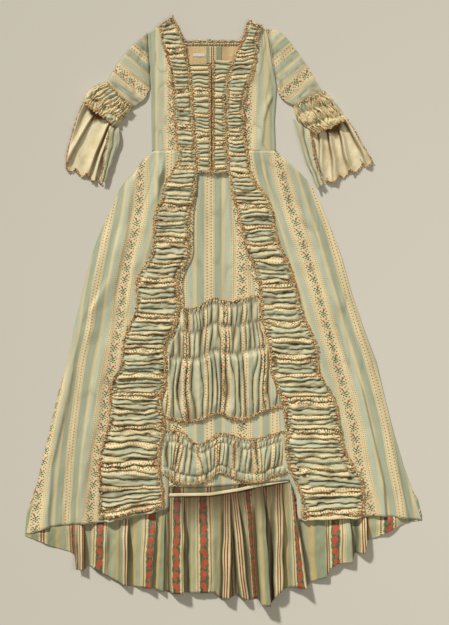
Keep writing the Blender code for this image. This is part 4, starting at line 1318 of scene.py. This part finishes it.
def headings(path):
    # level directions along a path and square to it
    ahead = np.gradient(path, axis=0)
    ahead[:, 2] = 0
    ahead /= np.linalg.norm(ahead, axis=1)[:, None]
    return ahead, np.stack([-ahead[:, 1], ahead[:, 0], 0 * ahead[:, 0]], 1)


def cordAlong(line, size):
    # a twisted cord, closed at both ends
    path = evenSteps(line, braid["cordStep"])
    across = headings(path)[1]
    spin = np.arange(len(path)) * 0.9
    sides = braid["sides"]
    ring = []
    for k in range(sides):
        angle = spin + k * 2 * np.pi / sides
        radius = braid["core"] * size * (1.0 + 0.35 * np.sin(k * 2.6 + spin * 1.7))
        ring.append(path + across * (np.cos(angle) * radius * 1.25)[:, None]
                    + np.array([0, 0, 1.0]) * (np.sin(angle) * radius * 0.8 + 0.6)[:, None])
    index = np.arange(len(path) * sides).reshape(len(path), sides)
    nextOne = np.roll(index, -1, 1)
    quads = np.stack([index[:-1], nextOne[:-1], nextOne[1:], index[1:]], -1).reshape(-1, 4)
    caps = [[index[0, 0], index[0, k + 1], index[0, k]] for k in range(1, sides - 1)]
    caps += [[index[-1, 0], index[-1, k], index[-1, k + 1]] for k in range(1, sides - 1)]
    faces = np.concatenate([quads[:, [0, 1, 2]], quads[:, [0, 2, 3]], np.array(caps)])
    return np.stack(ring, 1).reshape(-1, 3), faces


def tuftsAlong(line, size, dice):
    # tufts tied in at each side by turns
    spots = evenSteps(line, braid["step"] * size * 0.62)
    heading, sideways = headings(spots)
    many = len(spots)
    sway = braid["spread"] + dice.normal(0, 0.9, many)
    swing = np.where(np.arange(many) % 2, 1.0, -1.0) * sway * size
    centre = spots + sideways * swing[:, None] + heading * dice.normal(0, 0.8, many)[:, None]
    centre[:, 2] += 0.8 + dice.rand(many) * 1.6
    turn = dice.rand(many) * 2 * np.pi
    tilt = dice.rand(many) * np.pi
    reach = braid["tuft"] * size * (0.65 + 0.6 * dice.rand(many))
    p = tuftPoints[None].repeat(many, 0) * (0.8 + 0.5 * dice.rand(many, len(tuftPoints), 1))
    ct, st, ck, sk = np.cos(turn), np.sin(turn), np.cos(tilt), np.sin(tilt)
    y = p[..., 1] * ck[:, None] - p[..., 2] * sk[:, None]
    z = p[..., 1] * sk[:, None] + p[..., 2] * ck[:, None]
    x = p[..., 0] * ct[:, None] - y * st[:, None]
    y = p[..., 0] * st[:, None] + y * ct[:, None]
    p = np.stack([x, y, z * 0.75], -1) * reach[:, None, None] + centre[:, None]
    faces = tuftFaces[None] + (np.arange(many) * len(tuftPoints))[:, None, None]
    return p.reshape(-1, 3), faces.reshape(-1, 3)


def makeBraid(name, lines, nodes, seed, size=1.0):
    dice = np.random.RandomState(seed)
    dyes = np.array([colour for colour, share in braid["floss"]])
    shares = np.array([share for colour, share in braid["floss"]])
    allPoints, allFaces, allDyes, base = [], [], [], 0

    def keep(points, faces, each):
        # each ring of the cord and each tuft takes one dye
        allPoints.append(points)
        allFaces.append(faces + base)
        allDyes.append(np.repeat(dyes[dice.choice(len(dyes), len(points) // each, p=shares)], each, 0))
        return base + len(points)

    for line in lines:
        base = keep(*cordAlong(line, size), braid["sides"])
        base = keep(*tuftsAlong(line, size, dice), len(tuftPoints))
    points = np.concatenate(allPoints)
    points[:, 2] = np.maximum(points[:, 2], 0.4)
    faces = np.concatenate(allFaces)
    mesh = bpy.data.meshes.new(name)
    mesh.vertices.add(len(points))
    mesh.vertices.foreach_set("co", moveToGown(points).ravel())
    mesh.loops.add(len(faces) * 3)
    # drop runs against y, so each face is wound the other way
    mesh.loops.foreach_set("vertex_index", faces[:, ::-1].ravel())
    mesh.polygons.add(len(faces))
    mesh.polygons.foreach_set("loop_start", np.arange(len(faces)) * 3)
    mesh.update(calc_edges=True)
    mesh.validate()
    floss = mesh.color_attributes.new("floss", "FLOAT_COLOR", "POINT")
    floss.data.foreach_set("color", np.concatenate(allDyes).ravel())
    mesh.uv_layers.new(name="cloth")
    mesh.materials.append(flyBraid)
    item = bpy.data.objects.new(name, mesh)
    bpy.context.scene.collection.objects.link(item)
    only(item)
    bpy.ops.object.mode_set(mode="EDIT")
    bpy.ops.mesh.select_all(action="SELECT")
    bpy.ops.mesh.normals_make_consistent(inside=False)
    bpy.ops.object.mode_set(mode="OBJECT")
    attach(item, "root")
    if nodes:
        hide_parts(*nodes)
    return item


def lineOn(shape, acrossFrom, acrossTo, downFrom, downTo, lift, steps=700):
    # a line drawn on a finished cloth, as fractions of its width and length
    t = np.linspace(0, 1, steps)
    x, drop, high = shape(mix(acrossFrom, acrossTo, t), mix(downFrom, downTo, t))[:3]
    smoothHigh = np.convolve(np.pad(high, 6, mode="edge"), np.ones(13) / 13, "valid")
    return np.stack([x, drop, smoothHigh + lift], 1)


def robingBraids(side):
    shape = robingShape(side)
    inset = 0.035
    inner = lineOn(shape, inset, inset, 0.0, 0.995, 0.8)
    outer = lineOn(shape, 1 - inset, 1 - inset, 0.0, 0.995, 0.8)
    foot = lineOn(shape, 1 - inset, inset, 0.992, 0.992, 0.6, 120)
    top = lineOn(shape, 1 - inset, inset, 0.004, 0.004, 0.6, 60)
    name = side.title()
    return [makeBraid("innerBraid" + name, [inner], ["robing_braid_inner_" + side], 301),
            makeBraid("outerBraid" + name, [outer, foot, top], ["robing_braid_outer_" + side], 302)]


def makeBraids():
    made = robingBraids("left") + robingBraids("right")
    for side in ("left", "right"):
        line = lineOn(compereShape(side), 0.93, 0.93, 0.0, 1.0, 0.8)
        foot = lineOn(compereShape(side), 0.3, 0.93, 0.995, 0.995, 0.4, 60)
        made.append(makeBraid("compereBraid" + side.title(), [line, foot],
                              ["compere_braid_" + side], 303, 0.8))
    upper, lower = flounceShape(upperFlounce), flounceShape(lowerFlounce)
    made.append(makeBraid("upperFlounceBraid", [lineOn(upper, 0.04, 0.96, 0.006, 0.006, 0.6, 300),
                                                lineOn(upper, 0.04, 0.96, 0.985, 0.985, 0.6, 300)],
                          ["upper_flounce_braid"], 304, 0.95))
    made.append(makeBraid("lowerFlounceBraid", [lineOn(lower, 0.04, 0.96, 0.01, 0.01, 0.6, 300),
                                                lineOn(lower, 0.04, 0.96, 0.98, 0.98, 0.6, 300)],
                          ["lower_flounce_braid"], 305, 0.8))
    left, right, top, foot = neck["trimming"]
    x = np.linspace(left, right, 120)
    fringe = np.stack([x, top + 2 + 1.5 * np.sin(x * 0.7), 0 * x + layer["lining"] + 3.0], 1)
    made.append(makeBraid("neckFringe", [fringe], [], 306, 0.8))
    for side in ("left", "right"):
        cuffCloth, ruffleCloth, turnedCloth = cuffShape(side), ruffleShape(side), turnedShape(side)
        made.append(makeBraid("cuffBraid" + side.title(),
                              [lineOn(cuffCloth, 0.05, 0.95, 0.02, 0.02, 0.4, 160),
                               lineOn(cuffCloth, 0.05, 0.95, 0.97, 0.97, 0.4, 160)], [], 307))
        made.append(makeBraid("ruffleBraid" + side.title(),
                              [lineOn(ruffleCloth, 0.01, 0.99, 0.985, 0.985, 0.4, 260),
                               lineOn(ruffleCloth, 0.012, 0.012, 0.1, 0.985, 0.4, 160),
                               lineOn(turnedCloth, 0.03, 0.03, 0.05, 0.99, 0.4, 160)], [], 308, 0.7))
    return made


def layFloor():
    bpy.ops.object.select_all(action="DESELECT")
    bpy.ops.mesh.primitive_plane_add(size=30.0, location=(0, 0, 0))
    floor = bpy.context.active_object
    floor.name = "studioFloor"
    made = bpy.data.materials.new("palePaper")
    made.use_nodes = True
    shader = made.node_tree.nodes["Principled BSDF"]
    shader.inputs["Base Color"].default_value = dye(206, 201, 187)
    shader.inputs["Roughness"].default_value = 0.9
    shader.inputs["Specular IOR Level"].default_value = 0.1
    floor.data.materials.append(made)
    return floor


studio = {"keyHeight": 33.0, "keyTurn": 29.0, "keyStrength": 3.4, "keySoft": 6.0, "sky": 0.26,
          "fill": 12.0, "lens": 85.0, "sensor": 36.0, "tall": 1.8125, "aim": (0.00285, -0.006)}


def lightStudio():
    sun = bpy.data.lights.new("windowLight", "SUN")
    sun.energy = studio["keyStrength"]
    sun.angle = math.radians(studio["keySoft"])
    sun.color = (1.0, 0.99, 0.97)
    lamp = bpy.data.objects.new("windowLight", sun)
    bpy.context.scene.collection.objects.link(lamp)
    tilt = math.radians(90.0 - studio["keyHeight"])
    lamp.rotation_euler = (-tilt, 0.0, math.radians(studio["keyTurn"]))
    panel = bpy.data.lights.new("fillPanel", "AREA")
    panel.energy = studio["fill"]
    panel.shape = "DISK"
    panel.size = 0.9
    panel.color = (1.0, 0.97, 0.92)
    holder = bpy.data.objects.new("fillPanel", panel)
    bpy.context.scene.collection.objects.link(holder)
    holder.location = (1.15, -0.25, 2.4)
    aimed = Vector(holder.location) - Vector((0.3, -0.1, 0.0))
    holder.rotation_euler = aimed.to_track_quat("Z", "Y").to_euler()
    world = bpy.data.worlds.new("studioAir")
    bpy.context.scene.world = world
    world.use_nodes = True
    air = world.node_tree.nodes["Background"]
    air.inputs["Color"].default_value = (1.0, 0.95, 0.86, 1.0)
    air.inputs["Strength"].default_value = studio["sky"]
    camera = bpy.data.cameras.new("overheadCamera")
    camera.lens = studio["lens"]
    camera.sensor_width = studio["sensor"]
    holder = bpy.data.objects.new("overheadCamera", camera)
    bpy.context.scene.collection.objects.link(holder)
    holder.location = (*studio["aim"], studio["tall"] * studio["lens"] / studio["sensor"])
    bpy.context.scene.camera = holder
    bpy.context.scene.view_settings.view_transform = "Standard"


back = makeBack()
pleats = makeBoxPleats()
lining, liningStrip, neckTape, neckTrim = makeNeck()
petticoatFront, petticoatBack = makePetticoat()
hemTape = makeHemTape()
upper, lower = makeFlounces()
print("back, petticoat and flounces laid")
fronts = makeSkirtFronts()
bodices = makeBodiceFronts()
comperes = makeComperes()
robings = makeRobings()
print("fronts and robings laid")
sleeves = makeSleeves()
cuffs = makeCuffs()
ruffles = makeRuffles()
turnedFronts = makeTurned()
print("sleeves laid")
braids = {item.name: item for item in makeBraids()}
print("braids sewn on")
floor = layFloor()
lightStudio()

declareCut(back)
for piece in pleats:
    declareCut(piece)
declareCut(lining)
declareCut(liningStrip)
declareCut(neckTape)
declareCut(neckTrim)
declareCut(petticoatBack)
declareCut(petticoatFront)
declareCut(hemTape)
declareCut(upper)
declareCut(lower)
for spot, side in enumerate(("Left", "Right")):
    declareCut(fronts[spot])
    declareCut(bodices[spot])
    declareCut(comperes[spot])
    declareCut(robings[spot])
    declareCut(sleeves[spot])
    declareCut(cuffs[spot])
    declareCut(ruffles[spot])
    declareCut(turnedFronts[spot])
print("cuts declared")
